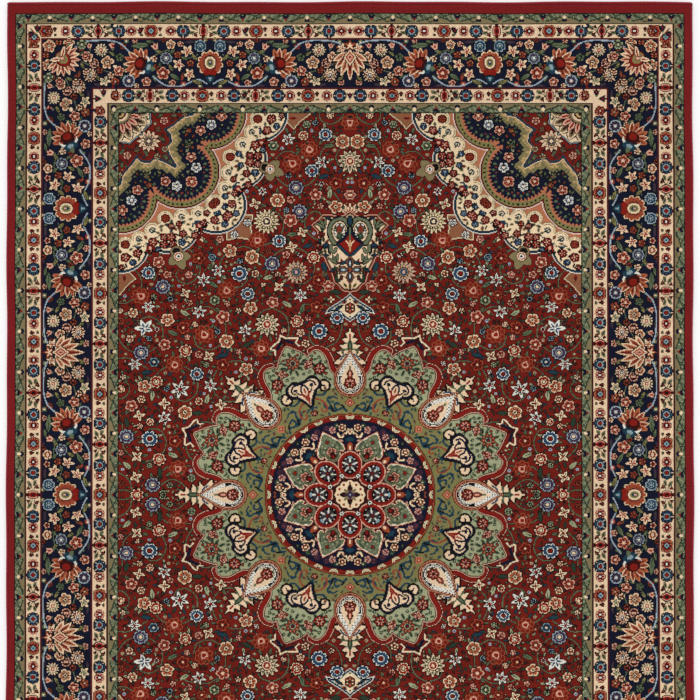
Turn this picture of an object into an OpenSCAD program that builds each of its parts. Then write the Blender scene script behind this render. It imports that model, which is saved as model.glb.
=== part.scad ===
// Rectangular machine-woven area rug with a central medallion, four corner ornaments
// and a set of nested border bands. +X runs across the rug, +Y along it towards its
// head end and +Z up out of the pile. The origin is the centre of the underside.
// The woven ground carries the pile; each area of the design is its own block of pile.

/* [Rug] */
// Width across the rug, over the serged sides
rug_w = 1600; // [1500:10:1900]
// Length of the rug, over the end hems
rug_l = 2300; // [2200:10:2700]
// Thickness of the woven ground under the pile
ground_t = 3; // [2:0.5:5]
// Height of the cut pile above the woven ground
pile_h = 9; // [5:0.5:14]

/* [Edges] */
// Width of the serged yarn edge along each long side
serging_w = 6; // [4:1:8]
// Width of the turned hem along each end
hem_w = 8; // [6:1:10]
// Width of the plain pile band beside each serged side
plain_side_w = 14; // [10:1:18]
// Width of the plain pile band beside each end hem
plain_end_w = 21; // [15:1:26]

/* [Border bands] */
// Width of the outer green guard band along the sides
outer_green_w = 27; // [20:1:34]
// Width of the outer cream guard band along the sides
outer_cream_w = 34; // [26:1:42]
// Width of the dark main border along the sides
main_w = 120; // [100:1:140]
// Width of the inner cream guard band along the sides
inner_cream_w = 35; // [26:1:42]
// Width of the inner green guard band along the sides
inner_green_w = 27; // [20:1:34]
// Share by which a green guard band is narrower along the ends than along the sides
green_end_share = 0.11; // [0:0.01:0.2]

/* [Field] */
// Radius of the rosette at the middle of the medallion
rosette_r = 104; // [90:1:110]
// Radius of the round disc of the medallion
disc_r = 199; // [180:1:202]
// Radius of the points of the medallion's lobes
lobe_r = 386; // [360:1:390]
// Radius of the tips of the pendant drops between the lobes
drop_r = 408; // [400:1:410]
// Radius of the scallops that edge the corner ornaments
scallop_r = 70; // [66:1:74]
// Height of the field design for each unit of its width
squash = 0.95; // [0.93:0.01:1]

/* [Hidden] */
BAND_NAMES = ["plain_band", "outer_green", "outer_cream", "main_border", "inner_cream", "inner_green"];
SIDE_NAMES = ["left", "right", "head", "foot"];
QUARTER_NAMES = ["head_left", "head_right", "foot_left", "foot_right"];

half_w = rug_w / 2;
half_l = rug_l / 2;
pile_top = ground_t + pile_h;
edge_top = pile_top - 2;
green_end = 1 - green_end_share;

// Widths of the pile bands from the outside in, along the sides and along the ends
side_widths = [plain_side_w, outer_green_w, outer_cream_w, main_w, inner_cream_w, inner_green_w];
end_widths = [
    plain_end_w, outer_green_w * green_end, outer_cream_w, main_w - 3,
    inner_cream_w - 1, inner_green_w * green_end
];
band_colours = ["firebrick", "darkolivegreen", "moccasin", "midnightblue", "moccasin", "darkolivegreen"];

function sum_to(list, n) = n == 0 ? 0 : list[n - 1] + sum_to(list, n - 1);
function band_x(n) = half_w - serging_w - sum_to(side_widths, n);
function band_y(n) = half_l - hem_w - sum_to(end_widths, n);

field_x = band_x(len(side_widths));
field_y = band_y(len(end_widths));

// Points of the design at a bearing clockwise from +Y and a distance, both before the squash
function polar(bearing, r) = [r * sin(bearing), r * cos(bearing) * squash];
function ring(r, step = 5) = [for (a = [0:step:360 - step]) polar(a, r)];
function mirrored(side) = concat(side, [for (i = [len(side) - 1:-1:0]) [-side[i][0], side[i][1]]]);

// Half outline of one lobe and of one drop as [degrees off its axis, distance]
lobe_side = [
    [0, lobe_r], [5, lobe_r - 30], [7, lobe_r - 26], [10, lobe_r - 28],
    [12.5, lobe_r - 44], [14.5, lobe_r - 90], [14.5, disc_r + 52], [22.5, disc_r + 40]
];
drop_side = [
    [0, drop_r], [3, drop_r - 30], [5, drop_r - 44], [2, drop_r - 66],
    [5.5, drop_r - 110], [7.5, drop_r - 140], [7, disc_r + 57], [4, disc_r + 53]
];

// Centres of the scallops of a corner ornament, inwards from the corner of the field
scallops = [[322, 0], [274, 117], [225, 225], [117, 274], [0, 322]];
corner_finial = [[200, 200], [315, 236], [322, 322], [236, 315]];

// Outer meeting point of two neighbouring scallops, and the arc of one between two bearings
function cusp(a, b) =
    let(mid = (a + b) / 2, step = b - a, half = norm(step) / 2)
    mid + sqrt(scallop_r * scallop_r - half * half) * [-step[1], step[0]] / (-2 * half);
function bearing_from(c, p) = atan2(p[1] - c[1], p[0] - c[0]);
function scallop_arc(c, a0, a1, steps = 8) =
    [for (i = [0:steps - 1]) let(a = a0 + (a1 - a0) * i / steps) c + scallop_r * [cos(a), sin(a)]];
function scallop_edge(i) =
    let(
        last = len(scallops) - 1,
        c = scallops[i],
        a0 = i == 0 ? 0 : bearing_from(c, cusp(scallops[i - 1], c)),
        a1 = i == last ? 90 : bearing_from(c, cusp(c, scallops[i + 1]))
    )
    concat(scallop_arc(c, a0, a1), i == last ? [c + [0, scallop_r]] : []);

pendant_side = [
    [0, 672], [24, 648], [58, 664], [86, 632], [70, 612], [74, 574], [80, 552], [48, 518], [30, 484], [12, 472]
];
diamond_side = [[0, 469], [36, 446], [57, 422], [25, 424], [8, 404]];

module pile(colour) {
    color(colour) translate([0, 0, ground_t]) linear_extrude(pile_h) children();
}

module ground_weave() {
    color("tan") translate([-half_w + serging_w, -half_l + hem_w, 0])
        cube([rug_w - 2 * serging_w, rug_l - 2 * hem_w, ground_t]);
}

module serging(side) {
    color("darkred") translate([side * (half_w - serging_w / 2) - serging_w / 2, -half_l + hem_w, 0])
        cube([serging_w, rug_l - 2 * hem_w, edge_top]);
}

module hem(side) {
    color("darkred") translate([-half_w, side * (half_l - hem_w / 2) - hem_w / 2, 0])
        cube([rug_w, hem_w, edge_top]);
}

// One mitred strip of a border band; turn 0 is the right side and 90 the head end
module band_strip(n, side) {
    x0 = band_x(n + 1);
    x1 = band_x(n);
    y0 = band_y(n + 1);
    y1 = band_y(n);
    long_strip = [[x0, -y0], [x1, -y1], [x1, y1], [x0, y0]];
    end_strip = [[-x0, y0], [-x1, y1], [x1, y1], [x0, y0]];
    pile(band_colours[n])
        if (side == "left") mirror([1, 0]) polygon(long_strip);
        else if (side == "right") polygon(long_strip);
        else if (side == "head") polygon(end_strip);
        else mirror([0, 1]) polygon(end_strip);
}

// Outline of the corner ornament at the head right, within the quarter of the field
module corner_outline() {
    translate([field_x, field_y]) mirror([1, 0]) mirror([0, 1]) union() {
        polygon([[0, 0], for (i = [0:len(scallops) - 1], p = scallop_edge(i)) [p[0], p[1] * squash]]);
        polygon([for (c = corner_finial) [c[0], c[1] * squash]]);
    }
}

module lobe_outline(bearing) {
    polygon(concat(
        [for (p = lobe_side) polar(bearing + p[0], p[1])],
        [for (a = [22.5:-4.5:-22.5]) polar(bearing + a, disc_r)],
        [for (i = [len(lobe_side) - 1:-1:1]) polar(bearing - lobe_side[i][0], lobe_side[i][1])]
    ));
}

module drop_outline(bearing) {
    polygon(concat(
        [for (p = drop_side) polar(bearing + p[0], p[1])],
        [for (i = [len(drop_side) - 1:-1:1]) polar(bearing - drop_side[i][0], drop_side[i][1])]
    ));
}

module corner(sx, sy) {
    pile("bisque") mirror([sx < 0 ? 1 : 0, 0]) mirror([0, sy < 0 ? 1 : 0]) corner_outline();
}

module field(sx, sy) {
    pile("brown") difference() {
        mirror([sx < 0 ? 1 : 0, 0]) mirror([0, sy < 0 ? 1 : 0]) difference() {
            square([field_x, field_y]);
            corner_outline();
        }
        polygon(ring(disc_r, 4.5));
        for (i = [0:7]) {
            lobe_outline(22.5 + 45 * i);
            drop_outline(45 * i);
        }
        polygon(mirrored([for (p = pendant_side) [p[0], sy * p[1]]]));
        polygon(mirrored([for (p = diamond_side) [p[0], sy * p[1]]]));
    }
}

module medallion_rosette() {
    pile("bisque") polygon(ring(rosette_r));
}

module medallion_disc() {
    pile("midnightblue") difference() {
        polygon(ring(disc_r, 4.5));
        polygon(ring(rosette_r));
    }
}

module medallion_lobe(i) {
    pile("darkseagreen") lobe_outline(45 * i - 22.5);
}

module medallion_drop(i) {
    pile("wheat") drop_outline(45 * i);
}

module pendant(sy) {
    pile("wheat") polygon(mirrored([for (p = pendant_side) [p[0], sy * p[1]]]));
}

module diamond(sy) {
    pile("lightsteelblue") polygon(mirrored([for (p = diamond_side) [p[0], sy * p[1]]]));
}

ground_weave();
serging(-1);  // serging_left
serging(1);  // serging_right
hem(1);  // hem_head
hem(-1);  // hem_foot
for (n = [0:len(BAND_NAMES) - 1], side = SIDE_NAMES)
    band_strip(n, side);
for (sx = [-1, 1], sy = [-1, 1]) {
    quarter = str(sy > 0 ? "head" : "foot", "_", sx > 0 ? "right" : "left");
    corner(sx, sy);
    field(sx, sy);
}
medallion_rosette();
medallion_disc();
for (i = [1:8]) {
    medallion_lobe(i);
    medallion_drop(i);
}
pendant(1);  // pendant_head
pendant(-1);  // pendant_foot
diamond(1);  // diamond_head
diamond(-1);  // diamond_foot
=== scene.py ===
import math

import bpy
import numpy as np
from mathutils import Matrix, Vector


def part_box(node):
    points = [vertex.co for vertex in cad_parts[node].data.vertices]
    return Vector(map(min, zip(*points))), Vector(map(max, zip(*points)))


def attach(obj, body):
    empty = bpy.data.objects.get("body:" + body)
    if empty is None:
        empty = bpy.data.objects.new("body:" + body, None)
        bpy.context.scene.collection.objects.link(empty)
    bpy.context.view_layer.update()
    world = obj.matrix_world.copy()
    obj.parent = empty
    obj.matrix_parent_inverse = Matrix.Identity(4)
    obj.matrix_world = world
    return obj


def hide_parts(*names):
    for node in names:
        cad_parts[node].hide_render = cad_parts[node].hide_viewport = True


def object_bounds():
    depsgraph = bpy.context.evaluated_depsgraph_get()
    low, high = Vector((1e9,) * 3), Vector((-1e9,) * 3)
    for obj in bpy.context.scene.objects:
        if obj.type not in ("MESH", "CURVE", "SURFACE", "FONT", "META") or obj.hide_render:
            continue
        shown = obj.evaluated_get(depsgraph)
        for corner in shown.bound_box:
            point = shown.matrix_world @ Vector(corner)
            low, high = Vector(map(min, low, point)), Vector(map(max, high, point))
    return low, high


# The looks of a machine-woven area rug: every tuft of its pile, its serged sides, end hems and
# woven back, all riding on its one body. Lengths are in metres, and in millimetres in the design.
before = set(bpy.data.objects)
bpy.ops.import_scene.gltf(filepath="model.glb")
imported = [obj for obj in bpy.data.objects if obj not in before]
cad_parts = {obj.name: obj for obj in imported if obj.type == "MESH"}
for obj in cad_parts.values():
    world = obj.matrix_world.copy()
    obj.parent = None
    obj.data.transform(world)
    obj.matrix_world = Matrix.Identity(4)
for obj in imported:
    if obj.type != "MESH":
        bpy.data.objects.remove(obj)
cad_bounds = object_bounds()
rng = np.random.default_rng(7)

MM = 0.001
TUFT = 2.0
# How much brighter than its own reflectance a level surface shows under the studio light
LIGHT_LEVEL = 1.15

# ---------------------------------------------------------------- yarns and the design grid
YARNS = {
    "red": "#6c1c14", "edge_red": "#771b1c", "crimson": "#7c1b14", "maroon": "#34100f", "wine": "#4f191b",
    "navy": "#131628", "ink": "#131010", "teal": "#1c3947", "blue": "#26405a", "sky": "#82979c",
    "white": "#d9d5c8", "cream": "#dfc19f", "ivory": "#e2c9a4", "gold": "#b39463",
    "salmon": "#ae6a4b", "pink": "#cf9c84", "rust": "#8a3b29", "terracotta": "#87563c",
    "olive": "#7a7448", "khaki": "#7e6f50", "sage": "#999b79", "leaf": "#59654a", "guard": "#646a50",
    "fir": "#29382b", "plum": "#3c2b3d", "mist": "#98a6b0", "orange": "#94462c",
}
YARN_NAMES = list(YARNS)
FULL_TURN = 2 * math.pi


def grow(mask, steps):
    """A mask made wider all round by a number of tufts."""
    out = mask.copy()
    for _ in range(steps):
        wide = out.copy()
        wide[1:] |= out[:-1]
        wide[:-1] |= out[1:]
        wide[:, 1:] |= out[:, :-1]
        wide[:, :-1] |= out[:, 1:]
        out = wide
    return out


def shrink(mask, steps):
    return ~grow(~mask, steps)


def inside(u, v, outline):
    """Which points lie inside a closed outline of (u, v) corners."""
    hit = np.zeros(u.shape, bool)
    for (u0, v0), (u1, v1) in zip(outline, outline[1:] + outline[:1]):
        if v0 != v1:
            hit ^= ((v0 > v) != (v1 > v)) & (u < (u1 - u0) * (v - v0) / (v1 - v0) + u0)
    return hit


def smooth_path(points, steps=6):
    """A smooth line through given points, as closely spaced points."""
    p = np.array([points[0], *points, points[-1]], float)
    t = np.linspace(0, 1, steps, endpoint=False)[:, None]
    parts = [
        0.5 * (2 * b + (c - a) * t + (2 * a - 5 * b + 4 * c - d) * t**2 + (3 * b - a - 3 * c + d) * t**3)
        for a, b, c, d in zip(p, p[1:], p[2:], p[3:])
    ]
    return np.vstack([*parts, p[-1:]])


def mirrored_outline(side):
    """A closed outline from its half with u above 0."""
    return [*side, *[(-u, v) for u, v in side[::-1] if u != 0]]


class Pattern:
    """Which yarn each tuft has, for the quarter of the rug with X and Y above 0."""

    def __init__(self, columns, rows, tuft):
        self.tuft = tuft
        self.x = (np.arange(columns) + 0.5) * tuft
        self.y = (np.arange(rows) + 0.5) * tuft
        self.yarn = np.zeros((rows, columns), np.uint8)

    def spot(self, x, y, reach, turn=0.0, squash=1.0):
        """A place to draw: v points to the bearing turn, and distances in Y are stretched by squash."""
        rows = slice(*np.searchsorted(self.y, (y - reach, y + reach)))
        cols = slice(*np.searchsorted(self.x, (x - reach, x + reach)))
        across = (self.x[cols] - x)[None, :]
        along = ((self.y[rows] - y) / squash)[:, None]
        a = math.radians(turn)
        u = across * math.cos(a) - along * math.sin(a)
        return Spot(self.yarn[rows, cols], u, across * math.sin(a) + along * math.cos(a))

    def everywhere(self, squash=1.0):
        return self.spot(0.0, 0.0, 1e5, 0.0, squash)


class Spot:
    """A patch of the pattern with its own (u, v) axes, in millimetres."""

    def __init__(self, view, u, v):
        self.view, self.u, self.v = view, u, v
        self.r, self.bearing = np.hypot(u, v), np.arctan2(u, v)

    def moved(self, u=0.0, v=0.0, turn=0.0):
        """The same patch with its origin at (u, v) and v turned to a further bearing."""
        a, du, dv = math.radians(turn), self.u - u, self.v - v
        return Spot(self.view, du * math.cos(a) - dv * math.sin(a), du * math.sin(a) + dv * math.cos(a))

    def polar(self, bearing, r, turn=0.0):
        """The same patch with its origin at a bearing and distance, v pointing outwards."""
        a = math.radians(bearing)
        return self.moved(r * math.sin(a), r * math.cos(a), bearing + turn)

    def fill(self, mask, yarn):
        self.view[mask] = YARN_NAMES.index(yarn)

    def disc(self, r, yarn, u=0.0, v=0.0):
        self.fill(np.hypot(self.u - u, self.v - v) < r, yarn)

    def oval(self, a, b, yarn, u=0.0, v=0.0):
        self.fill(((self.u - u) / a) ** 2 + ((self.v - v) / b) ** 2 < 1, yarn)

    def ovals(self, *rows, u=0.0, v=0.0):
        """Ovals over one another, each as (half width, half height, yarn)."""
        for a, b, yarn in rows:
            self.oval(a, b, yarn, u, v)

    def diamonds(self, *rows, v=0.0, tall=1.0):
        """Diamonds over one another, each as (half width, yarn)."""
        for r, yarn in rows:
            self.fill(np.abs(self.u) + np.abs(self.v - v) / tall < r, yarn)

    def blades(self, *rows):
        """Blades over one another, each as (start, length, width, yarn)."""
        for v, length, width, yarn in rows:
            self.fill(self.blade(length, width, v), yarn)

    def lobes(self, petals, *rows):
        """Lobed discs over one another, each as (radius, depth, yarn)."""
        for r, depth, yarn in rows:
            self.fill(self.lobed(r, petals, depth), yarn)

    def layers(self, mask, *rows):
        """A mask filled again and again, each time wider by the first number of a row or narrower if it is negative."""
        for steps, yarn in rows:
            self.fill(grow(mask, steps) if steps >= 0 else shrink(mask, -steps), yarn)

    def outlined(self, outline, *rows):
        """Layers of a symmetrical shape, from half its outline."""
        self.layers(self.shape(mirrored_outline(outline)), *rows)

    def petals(self, count, phase=0.0):
        """Every petal of a flower laid onto one: the distance across it and the distance out along it."""
        share = FULL_TURN / count
        off = (self.bearing - phase + share / 2) % share - share / 2
        return self.r * np.sin(off), self.r * np.cos(off)

    def lobed(self, r, petals, depth, phase=0.0):
        """A flower outline: depth is the share by which the gaps between petals cut in."""
        wave = np.abs(np.cos(petals * (self.bearing - phase) / 2))
        return self.r < r * (1 - depth * (1 - wave**0.7))

    def starred(self, r, points, waist, phase=0.0):
        """A star outline with pointed petals and a waist between them."""
        wave = np.abs(((self.bearing - phase) * points / FULL_TURN + 0.5) % 1 - 0.5) * 2
        return self.r < r - (r - waist) * wave

    def shape(self, outline):
        return inside(self.u, self.v, outline)

    def blade(self, length, width, v=0.0):
        """A leaf from v on towards +v, pointed at both ends."""
        t = (self.v - v) / length
        return (t > 0) & (t < 1) & (np.abs(self.u) < width / 2 * np.abs(np.sin(math.pi * t)) ** 0.8)

    def tear(self, low, tip, wide):
        """A teardrop from its round end at v low to its drawn-out point at v tip."""
        t = np.clip((self.v - low) / (tip - low), 0, 1)
        round_end = np.sqrt(np.clip(1 - ((t - 0.34) / 0.34) ** 2, 0, 1))
        neck = np.cos(math.pi / 2 * np.clip((t - 0.34) / 0.66, 0, 1)) ** 1.5
        return np.abs(self.u) < wide * np.where(t < 0.34, round_end, neck)

    def path(self, points, width, yarn):
        near = np.full(self.u.shape, 1e9)
        line = smooth_path(points)
        for (ua, va), (ub, vb) in zip(line, line[1:]):
            du, dv = ub - ua, vb - va
            t = np.clip(((self.u - ua) * du + (self.v - va) * dv) / (du * du + dv * dv + 1e-9), 0, 1)
            near = np.minimum(near, np.hypot(self.u - ua - t * du, self.v - va - t * dv))
        self.fill(near < width / 2, yarn)


# ---------------------------------------------------------------- motifs, each drawn on a spot
# The yarn inside the rim of a petal
PETAL_SHADE = {
    "cream": "salmon", "ivory": "salmon", "white": "mist", "pink": "rust", "sage": "leaf", "sky": "blue",
    "mist": "blue", "orange": "crimson", "crimson": "rust", "rust": "salmon", "blue": "navy", "plum": "wine",
    "leaf": "fir", "teal": "navy", "maroon": "crimson", "red": "crimson",
}


def blossom(s, r, yarns, petals=5):
    """A small open flower: pale-rimmed round petals round a coloured heart."""
    outline, petal, heart, eye = yarns
    across, out = s.petals(petals)
    d = np.hypot(across, out - 0.6 * r)
    s.fill(d < 0.42 * r + 2.3, outline)
    s.disc(0.6 * r, outline)
    s.fill(d < 0.42 * r, petal)
    s.fill((d < 0.42 * r - 2.1) & (out < 0.84 * r), PETAL_SHADE[petal])
    s.fill((np.abs(across) < 0.09 * r) & (out < 0.74 * r), heart)
    between, out = s.petals(petals, math.pi / petals)
    s.fill((np.abs(between) < 1.1) & (out < 0.9 * r), outline)
    s.disc(0.34 * r, outline)
    s.disc(0.28 * r, petal)
    s.disc(0.16 * r, eye if r > 9 else heart)


def ring_flower(s, r, yarns, petals=9):
    """A round flower: a ring of small pale-rimmed petals round a dark disc with a bright eye."""
    outline, petal, disc, eye = yarns
    across, out = s.petals(petals)
    d = np.hypot(across, out - 0.74 * r)
    s.fill(s.lobed(r + 2.4, petals, 0.06), outline)
    s.fill(d < 0.27 * r, petal)
    s.disc(0.72 * r, disc)
    s.fill((d < 0.27 * r - 1.9) | ((np.abs(across) > 0.2 * r) & (out > 0.5 * r) & (out < 0.8 * r)), disc)
    s.disc(0.46 * r, petal)
    s.disc(0.36 * r, outline)
    s.disc(0.22 * r, eye)


def star_flower(s, r, yarns, points=6):
    outline, petal, eye = yarns
    s.fill(s.starred(r + 3, points, 0.5 * r), outline)
    s.fill(s.starred(r, points, 0.26 * r), petal)
    across, out = s.petals(points)
    s.fill((np.abs(across) < 0.08 * r) & (out < 0.62 * r), outline)
    s.disc(0.2 * r, eye)


def sunflower(s, r, yarns, points=13):
    """A large flower with two rows of pointed petals round a ringed heart."""
    outline, petal, shade, heart, ring = yarns
    s.fill(s.starred(r + 3, points, 0.8 * r), outline)
    s.fill(s.starred(r, points, 0.6 * r), petal)
    s.fill(s.starred(0.84 * r, points, 0.42 * r), shade)
    s.fill(s.starred(0.74 * r, points, 0.5 * r, math.pi / points), outline)
    s.fill(s.starred(0.66 * r, points, 0.4 * r, math.pi / points), petal)
    s.disc(0.44 * r, outline)
    s.disc(0.38 * r, ring)
    s.disc(0.29 * r, heart)
    s.diamonds((0.17 * r, petal))


def tick(s, r, yarns):
    """A tiny square filler flower."""
    s.fill((np.maximum(np.abs(s.u), np.abs(s.v)) < r) & (np.abs(s.u) + np.abs(s.v) < 1.5 * r), yarns[1])
    s.disc(0.42 * r, yarns[0])


def leaf(s, length, width, yarn, edge, rib="fir"):
    s.fill(s.blade(length + 4, width + 3.6, v=-length / 2 - 2), edge)
    body = s.blade(length, width, v=-length / 2)
    s.fill(body, yarn)
    s.fill(body & (np.abs(s.u) < 1.1) & (s.v < length * 0.12), rib)


def bud(s, size, yarns):
    """A half-open flower on a green cup, opening towards +v."""
    outline, petal, heart, cup = yarns
    s.fill(s.blade(1.3 * size, 0.8 * size, v=-1.3 * size), cup)
    for scale, yarn in ((1.3, outline), (1.0, petal)):
        k = scale * size
        s.fill(s.shape([(-0.9 * k, 0.75 * k), (-0.34 * k, -0.6 * k), (0.34 * k, -0.6 * k), (0.9 * k, 0.75 * k),
                        (0.4 * k, 0.45 * k), (0, k), (-0.4 * k, 0.45 * k)]), yarn)
    s.fill(s.blade(size, 0.5 * size, v=-0.35 * size), heart)


def rose(s, r, yarns):
    """A large round flower drawn in outline on the ground, with a drop at its heart."""
    line, ground, drop, eye = yarns
    fold = (s.bearing + math.pi / 8) % (math.pi / 4) - math.pi / 8
    d = np.hypot(s.r * np.sin(fold), s.r * np.cos(fold) - 0.68 * r)
    s.disc(r, "maroon")
    s.fill(d < 0.34 * r, line)
    s.fill(d < 0.34 * r - 2.2, ground)
    s.disc(0.56 * r, line)
    s.disc(0.56 * r - 2, ground)
    s.fill(s.tear(-0.46 * r, 0.5 * r, 0.4 * r), drop)
    s.fill(s.tear(-0.3 * r, 0.3 * r, 0.24 * r), eye)


def lily(s, size, yarns):
    """An open lily: a middle petal, two side petals and two short sepals."""
    outline, petal, heart = yarns
    rays = [(s.moved(turn=b), k) for b, k in ((-130, 0.75), (130, 0.75), (-62, 1.05), (62, 1.05), (0, 0.95))]
    for t, k in rays:
        t.fill(t.blade(k * size + 3.4, 0.5 * size + 3.4, v=-1.7), outline)
    for t, k in rays:
        t.fill(t.blade(k * size, 0.44 * size), petal)
        t.fill(t.blade(0.62 * size, 0.2 * size), heart)


def fan_palmette(s, size, petals=7):
    """A palmette seen from the side: a cup, a crescent and long petals fanning out."""
    rays = [((k - (petals - 1) / 2) * 172 / (petals - 1), k % 2) for k in range(petals)]
    for bearing, _ in rays:
        t = s.moved(turn=bearing)
        t.fill(t.blade(size * (1.22 - 0.16 * abs(bearing) / 90), 0.52 * size, v=-1), "ink")
    for bearing, odd in rays:
        t = s.moved(turn=bearing)
        long = size * (1.18 - 0.16 * abs(bearing) / 90)
        t.fill(t.blade(long, 0.38 * size), "cream" if odd else "salmon")
        t.fill(t.blade(0.92 * long, 0.27 * size), "rust" if odd else "orange")
        t.fill(t.blade(long, 0.38 * size) & (np.abs(t.u) < 1.1) & (t.v < 0.7 * long), "maroon")
    s.oval(0.46 * size, 0.36 * size, "maroon", v=0.1 * size)
    s.oval(0.26 * size, 0.22 * size, "crimson", v=0.16 * size)
    s.fill((s.r < 0.6 * size) & (np.hypot(s.u, s.v - 0.3 * size) > 0.66 * size), "white")
    s.oval(0.46 * size, 0.24 * size, "teal", v=-0.5 * size)
    s.oval(0.2 * size, 0.13 * size, "sky", v=-0.48 * size)
    s.fill(s.blade(0.4 * size, 0.3 * size, v=-0.95 * size), "leaf")
# ---------------------------------------------------------------- border bands
class Strip:
    """One band of one side. s runs along it from the middle of the side and t outwards from its centre line."""

    def __init__(self, pattern, centre, is_end, mask, s, t, half):
        self.p, self.centre, self.is_end, self.half = pattern, centre, is_end, half
        self.mask, self.s, self.t = mask, s, t

    def spot(self, s, t=0.0, reach=30.0, turn=0.0):
        if self.is_end:
            return self.p.spot(s, self.centre + t, reach, turn)
        return self.p.spot(self.centre + t, s, reach, 90 - turn)

    def fill(self, where, yarn):
        self.p.yarn[self.mask & where] = YARN_NAMES.index(yarn)

    def path(self, points, width, yarn):
        s, t = np.array(points, float).T
        spot = self.spot(s.mean(), t.mean(), max(np.ptp(s), np.ptp(t)) / 2 + 40)
        flip = 1 if self.is_end else -1
        spot.path([(flip * (a - s.mean()), b - t.mean()) for a, b in points], width, yarn)


def strips(pattern, x_edges, y_edges):
    """The side strip and the end strip between two pairs of band edges, mitred at the corner."""
    (x0, x1), (y0, y1) = x_edges, y_edges
    x, y = np.meshgrid(pattern.x, pattern.y)
    across, along = (x - x0) / (x1 - x0), (y - y0) / (y1 - y0)
    side = (across >= 0) & (across < 1) & (along < across)
    end = (along >= 0) & (along < 1) & (across <= along)
    xc, yc = (x0 + x1) / 2, (y0 + y1) / 2
    return (
        Strip(pattern, xc, False, side, y, x - xc, (x1 - x0) / 2),
        Strip(pattern, yc, True, end, x, y - yc, (y1 - y0) / 2),
    )


def green_guard(strip, repeat, inner):
    """Sage and khaki ground with dark arching leaf lines, hearts and dotted buds."""
    tuft = strip.p.tuft
    phase = strip.s / repeat + (0.5 if inner else 0.0)
    wave = np.cos(FULL_TURN * phase)
    toward = (-strip.t if inner else strip.t) / strip.half
    strip.fill(True, "guard")
    hill = toward - (-0.1 + 0.45 * wave)
    speckle = np.sin(strip.s * 1.9 + strip.t) * np.sin(strip.s * 0.7 - 1.3 * strip.t)
    strip.fill((hill > 0) & (speckle > 0.5), "sage")
    strip.fill(hill < 0, "khaki")
    strip.fill((np.abs(hill) * strip.half < 0.8 * tuft) & (np.abs((phase + 0.25) % 0.5 - 0.25) > 0.06), "fir")
    vein = toward - (0.35 - 0.6 * np.cos(FULL_TURN * (phase + 0.08)))
    strip.fill((np.abs(vein) * strip.half < 0.7 * tuft) & (np.abs(phase % 1 - 0.5) < 0.34), "fir")
    vein = toward - (0.1 + 0.7 * np.sin(FULL_TURN * 2 * phase))
    strip.fill((np.abs(vein) * strip.half < 0.6 * tuft) & (np.abs(phase % 1 - 0.5) > 0.12), "fir")
    limit = strip.s.max()
    for n in range(-1, 2 * int(limit / repeat) + 2):
        spot = strip.spot((n / 2 - (0.5 if inner else 0.0)) * repeat, 0, 13, 180 if inner else 0)
        if n % 2:
            spot.fill(spot.shape([(-9, 8), (-5, 9), (0, 7), (5, 9), (9, 8), (3, -1), (-3, -1)]), "navy")
            spot.fill(spot.shape([(-4, 1), (4, 1), (0, -6)]), "crimson")
        else:
            spot.oval(6.5, 4.5, "navy", v=-3.5)
            spot.oval(3.5, 4.5, "ivory", v=3)
    strip.fill(np.abs(strip.t) > strip.half - tuft, "ink")


def cream_flower(strip, kind, s):
    """One flower of a cream guard, with the buds or sprigs beside it."""
    spot = strip.spot(s, 0, 34)
    if kind == "R":
        for side in (-1, 1):
            bud(spot.moved(21 * side, 4), 5.5, ("ink", "ink", "crimson", "maroon"))
            spot.oval(4, 3, "ink", u=22 * side, v=-9)
            spot.oval(2, 1.6, "leaf", u=22 * side, v=-9)
        spot.fill(spot.lobed(17, 8, 0.12) & (np.abs(spot.v) < 14.5), "maroon")
        spot.fill(spot.lobed(15.5, 8, 0.4) & (np.abs(spot.v) < 13.5), "salmon")
        spot.fill(spot.lobed(13, 8, 0.4) & (np.abs(spot.v) < 11.5), "crimson")
        spot.fill((np.abs(np.sin(4 * spot.bearing)) * spot.r < 2) & (spot.r < 13), "maroon")
        spot.disc(7.5, "ink")
        spot.fill(spot.lobed(6, 4, 0.3), "sky")
        spot.disc(2.6, "teal")
    elif kind == "s":
        spot.lobes(6, (12.5, 0.12, "maroon"), (11.5, 0.4, "pink"), (9.4, 0.4, "crimson"))
        spot.disc(5.5, "maroon")
        spot.disc(2.8, "white")
    elif kind == "B":
        spot.fill(spot.lobed(16.5, 8, 0.14) & (np.abs(spot.v) < 15), "ink")
        spot.fill(spot.lobed(14.5, 8, 0.5) & (np.abs(spot.v) < 13), "blue")
        spot.fill((np.abs(np.sin(4 * spot.bearing)) * spot.r < 1.6) & (spot.r < 15) & (spot.r > 10), "cream")
        spot.disc(10, "ink")
        spot.fill((spot.r > 5.5) & (spot.r < 8), "sky")
        spot.disc(4.6, "crimson")
    elif kind == "T":
        for side in (-1, 1):
            spot.path([(12 * side, 0), (20 * side, 6), (31 * side, 10)], 2.2, "leaf")
            spot.path([(12 * side, -2), (24 * side, -6), (34 * side, -4)], 2.2, "fir")
            for place, lean, turn in ((25, 8, 60), (28, -4, 110)):
                leaf(spot.moved(place * side, lean, turn * side), 14, 5.6, "leaf", "khaki", "ink")
            bud(spot.moved(18 * side, -9, 40 * side), 5.4, ("ink", "ink", "rust", "maroon"))
            bud(spot.moved(15 * side, 10, 30 * side), 4.2, ("ink", "ink", "crimson", "maroon"))
        spot.ovals((11, 14.5, "ink"), (8.5, 12.5, "pink"), (6.5, 10.5, "crimson"), (3, 5, "ink"))
        for v in (-13, 13):
            spot.oval(5, 3, "maroon", v=v)
    else:
        bud(spot, 7, ("ink", "navy", "crimson", "leaf"))


def cream_guard(strip, cycle, repeat, length):
    """Cream ground with a row of small flowers: cycle holds (kind, place along the strip)."""
    strip.fill(True, "cream")
    for n in range(int(length / repeat) + 1):
        for kind, place in cycle:
            if place + n * repeat < length:
                cream_flower(strip, kind, place + n * repeat)
    strip.fill(np.abs(strip.t) > strip.half - 1, "wine")


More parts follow.
